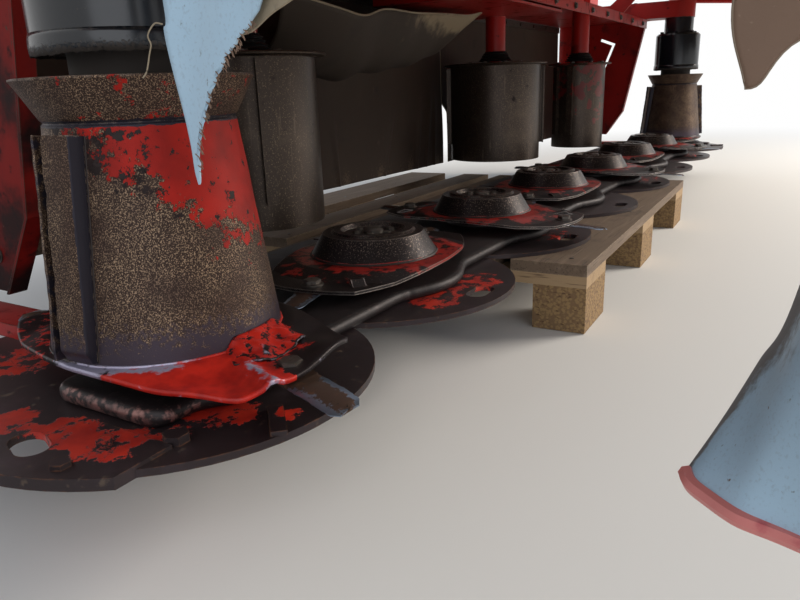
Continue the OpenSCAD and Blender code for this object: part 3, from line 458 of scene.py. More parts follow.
# A tube: a circle carried along a path, square to it
def tubed(path, radius, sides=8, closed=False):
    path = np.asarray(path, float)
    run = unit(np.roll(path, -1, 0) - np.roll(path, 1, 0) if closed else np.gradient(path, axis=0))
    across = unit(np.cross(run, guideFor(run)))
    other = np.cross(run, across)
    angle = np.linspace(0, 2 * math.pi, sides, endpoint=False)
    points = path[:, None] + radius * (np.cos(angle)[None, :, None] * across[:, None]
                                       + np.sin(angle)[None, :, None] * other[:, None])
    if closed:
        return points.reshape(-1, 3), gridFaces(len(path), sides, closedRows=True, closedColumns=True)
    return points.reshape(-1, 3), cappedFaces(len(path), sides)


# Copies of one small shape at many places, each turned about the upright axis or laid along another
def repeated(shape, places, turns=None, axes=None):
    points, faces = shape
    places = np.asarray(places, float)
    count = len(places)
    turns = np.zeros(count) if turns is None else np.asarray(turns, float)
    cos, sin = np.cos(turns), np.sin(turns)
    zero = np.zeros(count)
    spin = np.stack([cos, -sin, zero, sin, cos, zero, zero, zero, zero + 1], -1).reshape(count, 3, 3)
    if axes is not None:
        axes = unit(np.asarray(axes, float))
        side = unit(np.cross(guideFor(axes), axes))
        spin = np.stack([side, np.cross(axes, side), axes], -1) @ spin
    everyPoint = np.einsum("nij,pj->npi", spin, points) + places[:, None]
    everyFace = [[corner + k * len(points) for corner in face] for k in range(count) for face in faces]
    return everyPoint.reshape(-1, 3), everyFace


def joined(shapes):
    points, faces, start = [], [], 0
    for somePoints, someFaces in shapes:
        points.append(somePoints)
        faces += [[corner + start for corner in face] for face in someFaces]
        start += len(somePoints)
    return np.concatenate(points), faces


# A bolt head: six-sided, with a chamfered top, on a washer
def boltHead(size, height):
    washer = turned([(size * 1.25, 0), (size * 1.25, size * 0.18), (size, size * 0.22)], (0, 0, 0), 20)
    head = turned([(size, size * 0.2), (size, height * 0.85), (size * 0.86, height)], (0, 0, 0), 6)
    return joined([washer, head])


def boltGroups(size, height, groups):  # each group is the direction its heads point to, and their places
    places = [spot for axis, spots in groups for spot in spots]
    axes = [axis for axis, spots in groups for spot in spots]
    return repeated(boltHead(size, height), places, axes=axes)


sharpAngle = math.radians(38)


def makePiece(name, shape, finish, body, marks=None, uv=None):  # shape is in local millimetres
    points, faces = shape
    mesh = bpy.data.meshes.new(name)
    mesh.from_pydata(place(points).tolist(), [], faces)
    mesh.shade_smooth()
    mesh.set_sharp_from_angle(angle=sharpAngle)
    for label, values in (marks or {}).items():
        painted = mesh.attributes.new(label, "FLOAT", "POINT")
        painted.data.foreach_set("value", np.asarray(values, np.float32).ravel())
    if uv is not None:
        corners = np.empty(len(mesh.loops), np.int32)
        mesh.loops.foreach_get("vertex_index", corners)
        mesh.uv_layers.new(name="UVMap").data.foreach_set("uv", uv[corners].astype(np.float32).ravel())
    for label in [finish] if isinstance(finish, str) else finish:
        mesh.materials.append(finishes[label])
    piece = bpy.data.objects.new(name, mesh)
    bpy.context.scene.collection.objects.link(piece)
    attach(piece, body)
    return piece


# Gives a sheet its thickness in mm; an offset of -1 puts it all behind the face, 1 all before it
def thicken(piece, thickness, backSlot=0, offset=0.0):
    wall = piece.modifiers.new("wall", "SOLIDIFY")
    wall.thickness = thickness / 1000
    wall.offset = offset
    wall.material_offset = backSlot
    return piece


def smoothStep(low, high, value):
    t = np.clip((value - low) / (high - low), 0, 1)
    return t * t * (3 - 2 * t)


def hump(value, at, width):  # a bell curve that is 1 at its middle
    return np.exp(-((value - at) / width) ** 2)


# Soft random line: sums of sines with seeded phases, about one unit high
def wander(t, waves, seed):
    phases = np.random.default_rng(seed).uniform(0, 2 * math.pi, len(waves))
    sines = [np.sin(t * wave + phase) / (1 + k * 0.6) for k, (wave, phase) in enumerate(zip(waves, phases))]
    return sum(sines) / 1.6


# A smooth curve through control points, by the cubic that passes through each of them in turn
def curved(controls, count):
    controls = np.asarray(controls, float)
    knots = np.linspace(0, len(controls) - 1, count)
    step = np.clip(knots.astype(int), 0, len(controls) - 2)
    t = (knots - step)[:, None]
    padded = np.vstack([2 * controls[0] - controls[1], controls, 2 * controls[-1] - controls[-2]])
    a, b, c, d = (padded[step + k] for k in range(4))
    square, cube = 2 * a - 5 * b + 4 * c - d, 3 * b - a - 3 * c + d
    return 0.5 * (2 * b + (c - a) * t + square * t ** 2 + cube * t ** 3)


# A profile carried along a path, its first number to the side and its second up, with flat ends
def swept(path, profile, up=(0, 0, 1)):
    path, profile = np.asarray(path, float), np.asarray(profile, float)
    run = unit(np.gradient(path, axis=0))
    side = unit(np.cross(run, np.asarray(up, float)[None]))
    top = np.cross(side, run)
    points = path[:, None] + profile[None, :, :1] * side[:, None] + profile[None, :, 1:] * top[:, None]
    return points.reshape(-1, 3), cappedFaces(len(path), len(profile))


def flatSection(width, thick, chamfer=0.8):  # a flat bar's section with broken corners, anticlockwise
    w, t, c = width / 2, thick / 2, chamfer
    right = [(w - c, -t), (w, -t + c), (w, t - c), (w - c, t)]
    return [(-w + c, -t)] + right + [(-w + c, t), (-w, t - c), (-w, -t + c)]


def turn2d(points, degrees):  # about the upright axis
    a = math.radians(degrees)
    points = np.array(points, float)
    x, y = points[..., 0].copy(), points[..., 1].copy()
    points[..., 0] = x * math.cos(a) - y * math.sin(a)
    points[..., 1] = x * math.sin(a) + y * math.cos(a)
    return points


def between(a, b, t):
    return a + (b - a) * t


def discX(n):
    return (n - 4.5) * pitch * 1000


def discTurn(n):  # neighbouring discs are nearly a quarter turn apart, as in the picture
    return 85 if n % 2 else 5


allDiscs = range(1, 9)
angleAround = np.linspace(0, 2 * math.pi, 96, endpoint=False)
circle = np.stack([np.cos(angleAround), np.sin(angleAround), 0 * angleAround], -1)


def onDisc(points, n, turn=0, level=0):
    return turn2d(points, discTurn(n) + turn) + np.array([discX(n), 0, level])


print("cutterbar")
bar = {"top": -27, "bottom": -47, "half": 118, "lobe": 150, "end": 1651, "corner": 26, "stub": 52, "hub": 72,
       "hubTop": -17, "steps": 900, "cornerSteps": 9, "edgeSteps": 9, "swell": 5, "swellAt": 93,
       "swellWidth": 16, "taper": (1560, 1610), "rearTaper": (1530, 1612), "highlightSpan": (1590, 1615)}


# Cutterbar: a flat bar whose sides swell to a round lobe under each disc, with a half-round edge all along.
# Its ends are narrower behind, with round corners
def barShape():
    corner, straightEnd = bar["corner"], bar["end"] - bar["corner"]
    ease = corner * (1 - np.cos(np.linspace(0, math.pi / 2, bar["cornerSteps"])))
    x = np.concatenate([-bar["end"] + ease[:-1], np.linspace(-straightEnd, straightEnd, bar["steps"]),
                        bar["end"] - ease[::-1][1:]])
    nearest = np.abs(x[:, None] - np.array([discX(n) for n in allDiscs])[None]).min(1)
    lobe = np.sqrt(np.maximum(bar["lobe"] ** 2 - nearest ** 2, 0))
    side = np.maximum(bar["half"], lobe) + bar["swell"] * hump(nearest, bar["swellAt"], bar["swellWidth"])
    outer = np.abs(x)
    side = between(side, bar["half"], smoothStep(*bar["taper"], outer))
    rear = between(side, bar["stub"], smoothStep(*bar["rearTaper"], outer))
    into = np.clip(outer - straightEnd, 0, corner)
    rounding = corner - np.sqrt(np.maximum(corner ** 2 - into ** 2, 0))
    radius = (bar["top"] - bar["bottom"]) / 2
    thin = (radius * np.where(into > 0, np.sqrt(np.clip(1 - (into / corner) ** 6, 0.02, 1)), 1))[:, None]
    swing = np.linspace(-math.pi / 2, math.pi / 2, bar["edgeSteps"])
    y = np.concatenate([(rear - rounding - radius)[:, None] + thin * np.cos(swing),
                        -(side - rounding - radius)[:, None] - thin * np.cos(swing)], 1)
    rise = np.concatenate([thin * np.sin(swing), thin * np.sin(swing[::-1])], 1)
    z = (bar["top"] + bar["bottom"]) / 2 + rise
    points = np.stack([np.broadcast_to(x[:, None], y.shape), y, z], -1).reshape(-1, 3)
    # painted highlight: the rim mark lies along the outer face of the rounded edge and grows towards the ends
    rim = np.tile(np.cos(swing) ** 2, (len(x), 2))
    rim = np.maximum(rim, smoothStep(0.4, 1, into / corner)[:, None])
    rim = rim * (0.25 + 0.75 * smoothStep(*bar["highlightSpan"], outer))[:, None]
    return (points, cappedFaces(len(x), 2 * bar["edgeSteps"])), rim.ravel()


plainBar, rim = barShape()
hub, hubTop = bar["hub"], bar["hubTop"]
hubProfile = [(24, -30), (hub + 2.5, -28), (hub, -25), (hub, -19), (hub - 2, hubTop), (24, hubTop)]
points, faces = joined([plainBar] + [turned(hubProfile, (discX(n), 0, 0), 64) for n in allDiscs])
rim = np.concatenate([rim, np.zeros(len(points) - len(rim))])
castBar = makePiece("cast_cutterbar", (points, faces), "barCasting", "frame",
                    marks={"rim": rim})
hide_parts("cutterbar")

print("knives")
knife = {"length": 93, "back": 20, "half": 21, "thick": 4, "edge": 1, "bevel": 12, "boltAt": 192, "level": -14,
         "sections": 26, "trail": 11, "twist": 7, "droop": 1, "swungBack": 24, "bent": ((-8, 4), (9, 7.5))}


# A blade: an eight-sided section with two ground edges, carried from its round heel to its worn tip, turned
# about its own length by the twist and bent down by the droop
def bladeShape(twist, droop, seed):
    length = knife["length"]
    heel = -knife["back"] * np.cos(np.linspace(0, math.pi / 2, 8))[:-1]
    s = np.concatenate([heel, np.linspace(0, length, knife["sections"])])
    heelHalf = np.sqrt(np.maximum(knife["half"] ** 2 - s ** 2, 36))
    half = np.where(s < 0, heelHalf, knife["half"] - 0.03 * np.maximum(s, 0))
    half = half - 7 * smoothStep(length - 12, length, s) ** 2 + 0.6 * wander(s, (0.21, 0.5, 0.9), seed)
    bevel = 1.2 + knife["bevel"] * smoothStep(18, 34, s)
    upper = knife["thick"] / 2 + 0 * s
    edge = knife["edge"] - upper
    y = np.stack([-half, -half + bevel, half - bevel, half, half, half - bevel, -half + bevel, -half], -1)
    z = np.stack([-upper, -upper, -upper, -upper, edge, upper, upper, edge], -1)
    angle = np.radians(twist) * np.clip(s / length, 0, 1)[:, None]
    across, height = y * np.cos(angle) - z * np.sin(angle), y * np.sin(angle) + z * np.cos(angle)
    height = height - droop * (np.clip(s, 0, None) / length)[:, None] ** 2
    points = np.stack([np.broadcast_to(s[:, None], y.shape), across, height], -1).reshape(-1, 3)
    ground = np.tile([1.0, 0, 0, 1, 1, 0, 0, 1], (len(s), 1)) * smoothStep(14, 34, s)[:, None]
    return (points, cappedFaces(len(s), 8)), ground.ravel()


for n in allDiscs:
    shapes, ground = [], []
    for k in (0, 1):
        trail, twist, droop = knife["trail"] * (-1) ** n, knife["twist"] * (-1) ** n, knife["droop"]
        if n == 1:  # both blades of disc 1 are bent, and the first has swung back
            trail = knife["swungBack"] if k == 0 else trail
            twist, droop = knife["bent"][k]
        (points, faces), edge = bladeShape(twist, droop, 10 * n + k)
        points = turn2d(points, trail) + np.array([knife["boltAt"], 0, 0])
        shapes.append((onDisc(points, n, 180 * k, knife["level"]), faces))
        ground.append(edge)
    blades = makePiece(f"blades_{n}", joined(shapes), "knifeSteel", f"rotor_{n}",
                       marks={"ground": np.concatenate(ground)})
    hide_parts(f"knives_{n}")

print("discs and drums")
disc = {"long": 218, "wide": 134, "end": 68, "flat": 136, "dish": 7, "thick": 5, "slope": 40}


# The oval's outline: the smaller of the end circle and the flank circle, as a reach for each angle
def ovalReach(angle):
    bow = disc["wide"] - disc["end"]
    radius = (disc["long"] ** 2 + bow ** 2) / (2 * bow)
    offset = radius - disc["wide"]
    flank = -offset * np.abs(np.sin(angle)) + np.sqrt(radius ** 2 - (offset * np.cos(angle)) ** 2)
    return np.minimum(disc["long"], flank)


battered = {"lip": 11, "lipAt": 13, "lipSpread": 10, "crest": 6, "crestAt": (150, -25),
            "crestSide": (0.292, 0.956), "dent": 5, "stones": 0.7, "rings": 46, "steps": 200}


# Disc 1: the oval as rings of points, dished as the others, with a lip bent up at its front corner, a crest
# that runs out from the drum, a long dent beside it and small dents from stones
def batteredDisc():
    share = np.linspace(0.02, 1, battered["rings"]) ** 0.8
    angle = np.linspace(0, 2 * math.pi, battered["steps"], endpoint=False)
    rho = share[:, None] * ovalReach(angle)[None]
    u, w = rho * np.cos(angle), rho * np.sin(angle)
    theta = np.degrees(np.arctan2(w, u))
    (u0, w0), (sideU, sideW) = battered["crestAt"], battered["crestSide"]
    off = (u - u0) * sideU + (w - w0) * sideW  # distance from the line of the crest
    z = -disc["dish"] * smoothStep(disc["flat"], disc["flat"] + disc["slope"], rho)
    z = z + battered["lip"] * smoothStep(150, 218, rho) * hump(theta, battered["lipAt"], battered["lipSpread"])
    z = z + battered["crest"] * hump(off, 0, 7) * smoothStep(138, 160, u)
    z = z - battered["dent"] * hump(off, -36, 24) * smoothStep(60, 110, u) * smoothStep(128, 150, rho)
    z = z + battered["stones"] * np.sin(u / 17 + 1) * np.sin(w / 13) * smoothStep(130, 160, rho)
    plate = (1 - smoothStep(-30, -8, w)) * smoothStep(52, 84, u)
    patch = smoothStep(-30, -8, w) * (1 - smoothStep(40, 76, w)) * (1 - smoothStep(176, 206, u)) * (u > 0)
    paint = plate + 0.36 * patch + 0.3 * (1 - smoothStep(-60, 40, u))
    rimStrip = smoothStep(0.975, 0.99, share)[:, None] * (rho > 125)
    footStrip = hump(rho, 132, 11) * smoothStep(-100, -84, theta) * (1 - smoothStep(-42, -20, theta))
    # painted highlight: the pale mark along the crest; the rim strip and the foot strip are worn bare
    bare = 0.75 * hump(off, 0, 5) * smoothStep(145, 170, u) + 0.2 * rimStrip + 0.85 * footStrip
    points = onDisc(np.stack([u, w, z], -1).reshape(-1, 3), 1, 180)
    middle = [list(range(battered["steps"] - 1, -1, -1))]
    faces = gridFaces(battered["rings"], battered["steps"], closedColumns=True) + middle
    return (points, faces), {"paint": paint, "bare": bare}


shape, marks = batteredDisc()
sheetOne = thicken(makePiece("disc_1_sheet", shape, "batteredDisc", "rotor_1", marks=marks),
                   disc["thick"], offset=-1.0)
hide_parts("disc_1")
spindle = turned([(22, -25), (22, -4.5)], (discX(1), 0, 0), 40)
makePiece("disc_1_spindle", spindle, "boltSteel", "rotor_1")

flap = {"from": -14, "to": 31, "inner": 125.5, "outer": 172, "rise": 17, "rows": 90, "columns": 30,
        "thick": 2.4}


# The buckled apron at the drum's foot: a ring sector that runs down from the cone in crumpled waves to the
# disc, with a torn end and edge. a runs round the drum and b outwards
def buckledFlap():
    a = np.linspace(0, 1, flap["rows"])[:, None]
    b = np.linspace(0, 1, flap["columns"])[None]
    angle = np.radians(between(flap["from"], flap["to"], a))
    torn = 0.62 + 0.38 * np.sin(math.pi * np.clip(a * 1.1, 0, 1)) ** 0.7 + 0.06 * wander(a, (9, 23, 51), 3)
    rho = flap["inner"] + (flap["outer"] - flap["inner"]) * b * torn
    swell = smoothStep(0, 0.22, a) * (1 - 0.45 * smoothStep(0.8, 1, a))
    waves = (2.6 * np.sin(17 * a + 3.2 * b) + 1.5 * np.sin(31 * a - 6 * b + 1)) * np.sin(math.pi * b ** 0.8)
    edgeWave = 3.5 * b ** 3 * np.sin(11 * a + 0.6)
    z = 1.2 + (flap["rise"] * (1 - b) ** 1.5 + waves + edgeWave) * swell
    z = np.maximum(z, -2 - 6 * b)
    points = np.stack([rho * np.cos(angle), rho * np.sin(angle), z], -1).reshape(-1, 3)
    paint = (1 - smoothStep(0.93, 1, b)) * (0.47 + 0.05 * wander(a * 9 + b * 5, (3, 7), 5))
    paint = paint * (1 - 0.3 * smoothStep(0.86, 1, a))
    bare = 0.4 * smoothStep(0.96, 1, b) + 0.5 * hump(a, 0.3, 0.03) * hump(b, 0.6, 0.3)
    return (onDisc(points, 1, 180), gridFaces(flap["rows"], flap["columns"])), {"paint": paint, "bare": bare}


shape, marks = buckledFlap()
thicken(makePiece("disc_1_flap", shape, "batteredDisc", "rotor_1", marks=marks), flap["thick"])

drum = {"foot": 127, "top": 98, "height": 236, "rim": 120, "rimAt": 278, "wall": 4, "rows": 70, "steps": 180,
        "leafHalf": 18.3, "leafOut": (11.1, 16.6), "finOut": (12.7, 19.4), "finAt": -24.4, "from": 9,
        "to": 229, "vaneRows": 120, "turns": {-1: 186.7, 1: 120}}
lean = math.atan2(drum["foot"] - drum["top"], drum["height"])
viewRight = np.array([0.521, -0.8535])  # level, to the picture's right
viewNear = np.array([-0.6293, -0.7771])  # level, from the drum to the camera


def onCone(out, tangent, height, turn, side):  # a point beside the cone, in its sloping wall's own directions
    out, tangent, height = np.broadcast_arrays(out, tangent, height)
    radial = drum["foot"] + out * math.cos(lean) - height * math.sin(lean)
    up = height * math.cos(lean) + out * math.sin(lean)
    return turn2d(np.stack([radial, tangent, up], -1), turn) + np.array([side * halfRow, 0, 0])


def wallFall(height, tangent):  # how far the round wall falls back beside a vane's middle
    radius = drum["foot"] - height * math.tan(lean)
    return np.sqrt(radius ** 2 - tangent ** 2) - radius


# End drum: a turned shell with slight dents along its wall and a groove under the flared collar
def drumShell():
    cone = np.column_stack([np.linspace(drum["foot"], drum["top"], drum["rows"]),
                            np.linspace(0, drum["height"], drum["rows"])])
    neck = [(96.6, 237.2), (96.3, 238.4), (97.2, 239.6)]
    rim, rimAt = drum["rim"], drum["rimAt"]
    collar = np.column_stack([np.linspace(98.6, rim - 0.6, 12), np.linspace(240.8, rimAt - 1, 12)])
    lip = [(rim + 0.6, rimAt + 0.4), (rim + 0.2, rimAt + 2.2), (rim - 1.8, rimAt + 2.6),
           (rim - 3.6, rimAt + 1.2)]
    inside = [(94, 243), (92, 240), (40, 239), (3, 239)]
    under = [(3, drum["height"] - 6), (drum["top"] - 5, drum["height"] - 6), (drum["foot"] - drum["wall"], 0)]
    points, faces = turned(np.vstack([under, cone, neck, collar, lip, inside]), (0, 0, 0), drum["steps"])
    angle, height = np.arctan2(points[:, 1], points[:, 0]), points[:, 2]
    radius = np.hypot(points[:, 0], points[:, 1])
    dents = 0.35 * wander(3 * angle + height / 40, (1, 2.2, 3.1), 6) + 0.3 * wander(height / 30, (1, 3), 2)
    lipWave = 0.8 * wander(angle, (3, 8, 21), 5) * smoothStep(262, 280, height)
    grow = 1 + (dents * smoothStep(4, 30, height) * (radius > 60) + lipWave) / np.maximum(radius, 1)
    return points * np.column_stack([grow, grow, np.ones(len(points))]), faces


# Where a drum's finish changes. The red paint is left on the near drum only, above a slanting line. The
# wall mark is painted shade in the groove under the collar
def drumMarks(points, side):
    right, near, height = points[:, :2] @ viewRight, points[:, :2] @ viewNear, points[:, 2]
    red = smoothStep(-58, 104, height - (236 - 0.768 * (right + 72))) * smoothStep(-70, -20, near)
    chips = smoothStep(0.1, 0.4, red) * (1 - 0.5 * smoothStep(10, 70, right)) * (height < 240)
    red = red * (1 - 0.74 * smoothStep(236, 242, height))
    # painted shade: the groove between the cone and the collar is marked dark
    grooveShade = smoothStep(235, 236.5, height) * (1 - smoothStep(239.5, 241.5, height))
    return {"red": red * (side < 0), "chips": chips * (side < 0), "smooth": 1 - smoothStep(4, 76, height),
            "wall": grooveShade}


# painted shade: the leaf's side faces and underside are marked dark, and the whole fin a little
vaneShade = [1, 1, 0.6, 0, 0, 0, 0, 1, 1, 1, 1]  # dark marks round a leaf's section
finShade = [0.35] * 6


# A folded vane: a leaf that stands off the wall with a torn edge, and a thin fin beside it. A section's points
# are a distance from the wall and one along it
def vaneShape(side, turn):
    h = np.linspace(drum["from"], drum["to"], drum["vaneRows"])
    share = (h - drum["from"]) / (drum["to"] - drum["from"])
    out = between(*drum["leafOut"], share) * smoothStep(-0.03, 0.06, share) + 0.4 * wander(h, (0.05, 0.13), 3)
    half = drum["leafHalf"]
    tear = 1.1 * np.abs(wander(h, (0.6, 1.3, 2.4), 8)) * smoothStep(0.05, 0.25, share)
    torn = -half + 1.2 * wander(h, (0.09, 0.23), 5) + tear
    leaf = [(wallFall(h, half + 1.5) - 2.5, half + 1.5), (out - 2.5, half + 0.6), (out - 0.8, half - 0.4),
            (out, half - 2.2), (out + 0.3, 0), (out - 0.2, torn + 1.2), (out - 1.6, torn),
            (out - 3.2, torn + 0.8), (out - 3.4, 0), (out - 3.6, half - 4.2),
            (wallFall(h, half - 3) - 2.5, half - 3)]
    finOut = between(*drum["finOut"], share) + 0.6 * wander(h, (0.07, 0.31), 9)
    t = drum["finAt"]
    root = wallFall(h, t) - 2.5
    fin = [(root, t + 1.6), (finOut - 0.8, t + 1.6), (finOut, t + 0.8), (finOut, t - 0.6),
           (finOut - 0.8, t - 1.4), (root, t - 1.4)]
    return [(np.stack([onCone(o, q, h, turn, side) for o, q in section], 1).reshape(-1, 3),
             cappedFaces(len(h), len(section))) for section in (leaf, fin)]


fillet = [(132.5, -0.4), (130.6, 1.6), (128.6, 3.6), (127.2, 6.4), (125.6, 6.8), (124, 3), (124, -0.4)]
for side, rotor, name in ((-1, "rotor_1", "left"), (1, "rotor_8", "right")):
    centre = np.array([side * halfRow, 0, 0])
    vaneTurns = (drum["turns"][side], drum["turns"][side] + 180)
    shellPoints, shellFaces = drumShell()
    vanes = [part for turn in vaneTurns for part in vaneShape(side, turn)]
    points, faces = joined([(shellPoints + centre, shellFaces)] + vanes)
    marks = drumMarks(points - centre, side)
    wallFrom = len(shellPoints)
    # painted shade on the vanes' side faces and fins
    marks["wall"][wallFrom:] = (vaneShade * drum["vaneRows"] + finShade * drum["vaneRows"]) * 2
    marks["red"][wallFrom:] = 0
    marks["chips"][wallFrom:] = 0
    shell = makePiece(f"end_drum_{name}_sheet", (points, faces), "drumSteel", rotor, marks=marks)
    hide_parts(f"end_drum_{name}")
    h = np.linspace(drum["from"], drum["to"], 100)
    bead = 0.2 * wander(h, (0.7, 1.9), 3)
    welds = [tubed(onCone(wallFall(h, tangent) + bead, tangent, h, turn, side), 1.1, 6)
             for turn in vaneTurns for tangent in (drum["leafHalf"] + 1.8, drum["finAt"] - 2.0)]
    makePiece(f"vane_weld_{name}", joined(welds), "weldMetal", rotor)
    points, faces = turned(fillet, (0, 0, 0), 120)
    radians = np.arctan2(points[:, 1], points[:, 0])
    angle = np.degrees(radians)
    points[:, :2] *= 1 + 0.006 * wander(radians, (7, 19, 43), 8)[:, None]
    bare = hump(np.mod(angle + 330, 360), 180, 34) * (1 if side < 0 else 0.2)
    paint = smoothStep(-148, -128, angle) * (1 - smoothStep(-20, 10, angle)) * (side < 0)
    makePiece(f"drum_foot_{name}", (points + centre, faces), "batteredDisc", rotor,
              marks={"paint": paint * (0.72 + 0.3 * wander(radians, (9, 23), 4)), "bare": bare})

# Nuts on the knife bolts, weld round each cap, and a ring nut and small bolts in its hollow
nut, capBolt = boltHead(13, 9), boltHead(6.5, 5)
sixth = np.arange(6) * math.pi / 3
ringNut = [(17, 32.5), (17, 37), (14, 39.5), (6, 40)]
for n in allDiscs:
    tips = onDisc([[knife["boltAt"], 0, -7.2], [-knife["boltAt"], 0, -7.2]], n)
    if n == 1:
        tips[1, 2] += 1.5
    small = [repeated(nut, tips, turns=[0.3, 1.1])]
    if 1 < n < 8:
        swung = sixth + 0.4
        spots = np.column_stack([discX(n) + 30 * np.cos(swung), 30 * np.sin(swung), np.full(6, 32.8)])
        small.append(repeated(capBolt, spots, turns=np.arange(6) * 0.7))
        small.append(turned(ringNut, (discX(n), 0, 0), 24))
        bead = circle * 104.5 * (1 + 0.004 * wander(angleAround, (13, 37), n)[:, None]) + [discX(n), 0, 0.6]
        makePiece(f"cap_weld_{n}", tubed(bead, 2.6, 6, closed=True), "weldMetal", f"rotor_{n}")
    makePiece(f"disc_bolts_{n}", joined(small), "boltSteel", f"rotor_{n}")

print("housings, boots and fasteners")
# Ragged lower edge of each end housing's sleeve: a thin ring whose foot wanders up and down
sleeve = {"levels": [322, 318, 311, 304], "radii": [95.4, 96.8, 97.2, 96.4], "shares": [0, 0.1, 0.6, 1],
          "thick": 1.6}
for side, name in ((-1, "left"), (1, "right")):
    angle = np.linspace(0, 2 * math.pi, 160, endpoint=False)
    ragged = 1.3 * wander(angle, (3, 7, 17, 41), 6 + side)[None] + 0.7 * wander(angle, (61, 97), 2)[None]
    level, radius, share = (np.array(sleeve[key])[:, None] for key in ("levels", "radii", "shares"))
    radius = radius + 0.1 * ragged * share
    points = np.stack([radius * np.cos(angle) + side * halfRow, radius * np.sin(angle),
                       level - share * (ragged + 3)], -1).reshape(-1, 3)
    ring = makePiece(f"housing_sleeve_{name}", (points, gridFaces(4, 160, closedColumns=True)), "glossBlack",
                     "frame")
    thicken(ring, sleeve["thick"], offset=1.0)

# Folded boots in place of the plain cones on the inner drums' spindles
boot = {"inner": 22, "top": 36, "foot": 55, "low": 338.3, "high": 367.9, "fold": 2.6, "folds": 4}
innerDrums = [(-2.3 * pitch * 1000, 336, 136), (0.6 * pitch * 1000, 362, 152), (1.78 * pitch * 1000, 228, 99)]
t = np.linspace(0, 1, 37)
pleats = boot["fold"] * np.sin(t * 2 * math.pi * boot["folds"]) * (t < 0.97)
profile = np.vstack([[[boot["inner"], boot["low"]]],
                     np.column_stack([between(boot["foot"], boot["top"], t) + pleats,
                                      between(boot["low"], boot["high"], t)]),
                     [[boot["inner"], boot["high"]]]])
boots = makePiece("folded_boots", joined([turned(profile, (x, y, 0), 56) for x, y, reach in innerDrums]),
                  "bootRubber", "frame")
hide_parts("drum_boots")
eighth = np.arange(8) * math.pi / 4
for i, (x, y, reach) in enumerate(innerDrums, 1):
    lip = tubed(circle * (reach + 19) + [x, y, 327.5], 3.0, 8, closed=True)
    seam = tubed(circle * (reach + 0.8) + [x, y, 323.5], 2.4, 6, closed=True)
    spots = np.column_stack([x + 87.4 * np.cos(eighth), y + 87.4 * np.sin(eighth), np.full(8, 330)])
    makePiece(f"drum_lip_{i}", joined([lip, seam]), "innerDrumSteel", f"inner_{i}")
    makePiece(f"drum_bolts_{i}", repeated(boltHead(8, 7), spots), "boltSteel", f"inner_{i}")

# Bolts of the roof's front lip and top, and on each side those of the side plate, its bracket, the end
# housing, the drive arm and the headstock
roof = {"top": 526, "front": 136, "rear": 565}
up, forward, backward = (0, 0, 1), (0, -1, 0), (0, 1, 0)
topX = [*np.arange(-1380, -240, 190), *np.arange(240, 1400, 190)]
groups = [(forward, [(x, roof["front"] - 0.2, 505) for x in np.arange(-1400, 1401, 200.0)]),
          (up, [(x, 400, roof["top"]) for x in topX])]
plateBolts = ((200, 480), (300, 490), (420, 490), (530, 470), (530, 300), (530, 120), (330, 60))
housingBolts = ((38, 0), (-38, 0), (0, -38), (0, 200), (0, 300))
armBolts = ((-42, 450), (42, 450), (-42, 530), (42, 530))
headBolts = ((690, 375), (730, 375), (715, 520), (700, 700), (700, 800))
for side in (-1, 1):
    groups += [((side, 0, 0), [(side * (halfRow + 3), y, z) for y, z in plateBolts]),
               ((side, 0, 0), [(side * (halfRow + 30), y, -10) for y in (470, 540)]),
               (up, [(side * (halfRow + x), y, roof["top"] + 70) for x, y in housingBolts]),
               (up, [(side * (halfRow + x), y, 809.8) for x, y in armBolts]),
               ((side, 0, 0), [(side * 202, y, z) for y, z in headBolts])]
makePiece("frame_bolts", boltGroups(9, 8, groups), "boltSteel", "frame")

# Gearbox: cover bolts, the flange bolts of its shafts, and cooling ribs
gearbox = {"y": 495, "axis": roof["top"] + 232, "cover": 690.2, "rear": 591.2, "side": 100.2}
groups = [(up, [(x, y, gearbox["cover"]) for x in (-90, 90) for y in (440, 495, 550)]),
          (backward, [(40 * math.cos(a), gearbox["rear"], gearbox["axis"] + 40 * math.sin(a)) for a in sixth])]
groups += [((side, 0, 0), [(side * gearbox["side"], gearbox["y"] + 50 * math.cos(a),
                            gearbox["axis"] + 50 * math.sin(a)) for a in sixth]) for side in (-1, 1)]
makePiece("gearbox_bolts", boltGroups(7, 6, groups), "boltSteel", "frame")
ribs = [swept([(x, 443, z) for z in (692, 730, 770, 820)], flatSection(6, 10), up=(0, -1, 0))
        for x in (-60, -36, -12, 12, 36, 60)]
makePiece("gearbox_ribs", joined(ribs), "glossBlack", "frame")
# Clamps round the cross drive tubes
clampProfile = [(38.2, -9), (43, -7), (43, 7), (38.2, 9)]
rings = [turned(clampProfile, (x, gearbox["y"], gearbox["axis"]), 40, axis="x")
         for x in (-1448, -1000, -560, -112, 112, 560, 1000, 1448)]
makePiece("drive_clamps", joined(rings), "boltSteel", "frame")

# Weld beads on the frame: one under each drive arm and two along the roof
weldLine = np.linspace(-1500, 1500, 500)
beads = [tubed([(side * 1458, y, 667 + 0.4 * math.sin(y)) for y in np.linspace(430, 560, 60)], 3.5, 6)
         for side in (-1, 1)]
beads += [tubed([(x, y, 527 + 0.5 * math.sin(x * ripple)) for x in weldLine], 3, 6)
          for y, ripple in ((roof["rear"] + 0.5, 0.9), (roof["front"] + 289, 1.3))]
makePiece("frame_welds", joined(beads), "weldMetal", "frame")
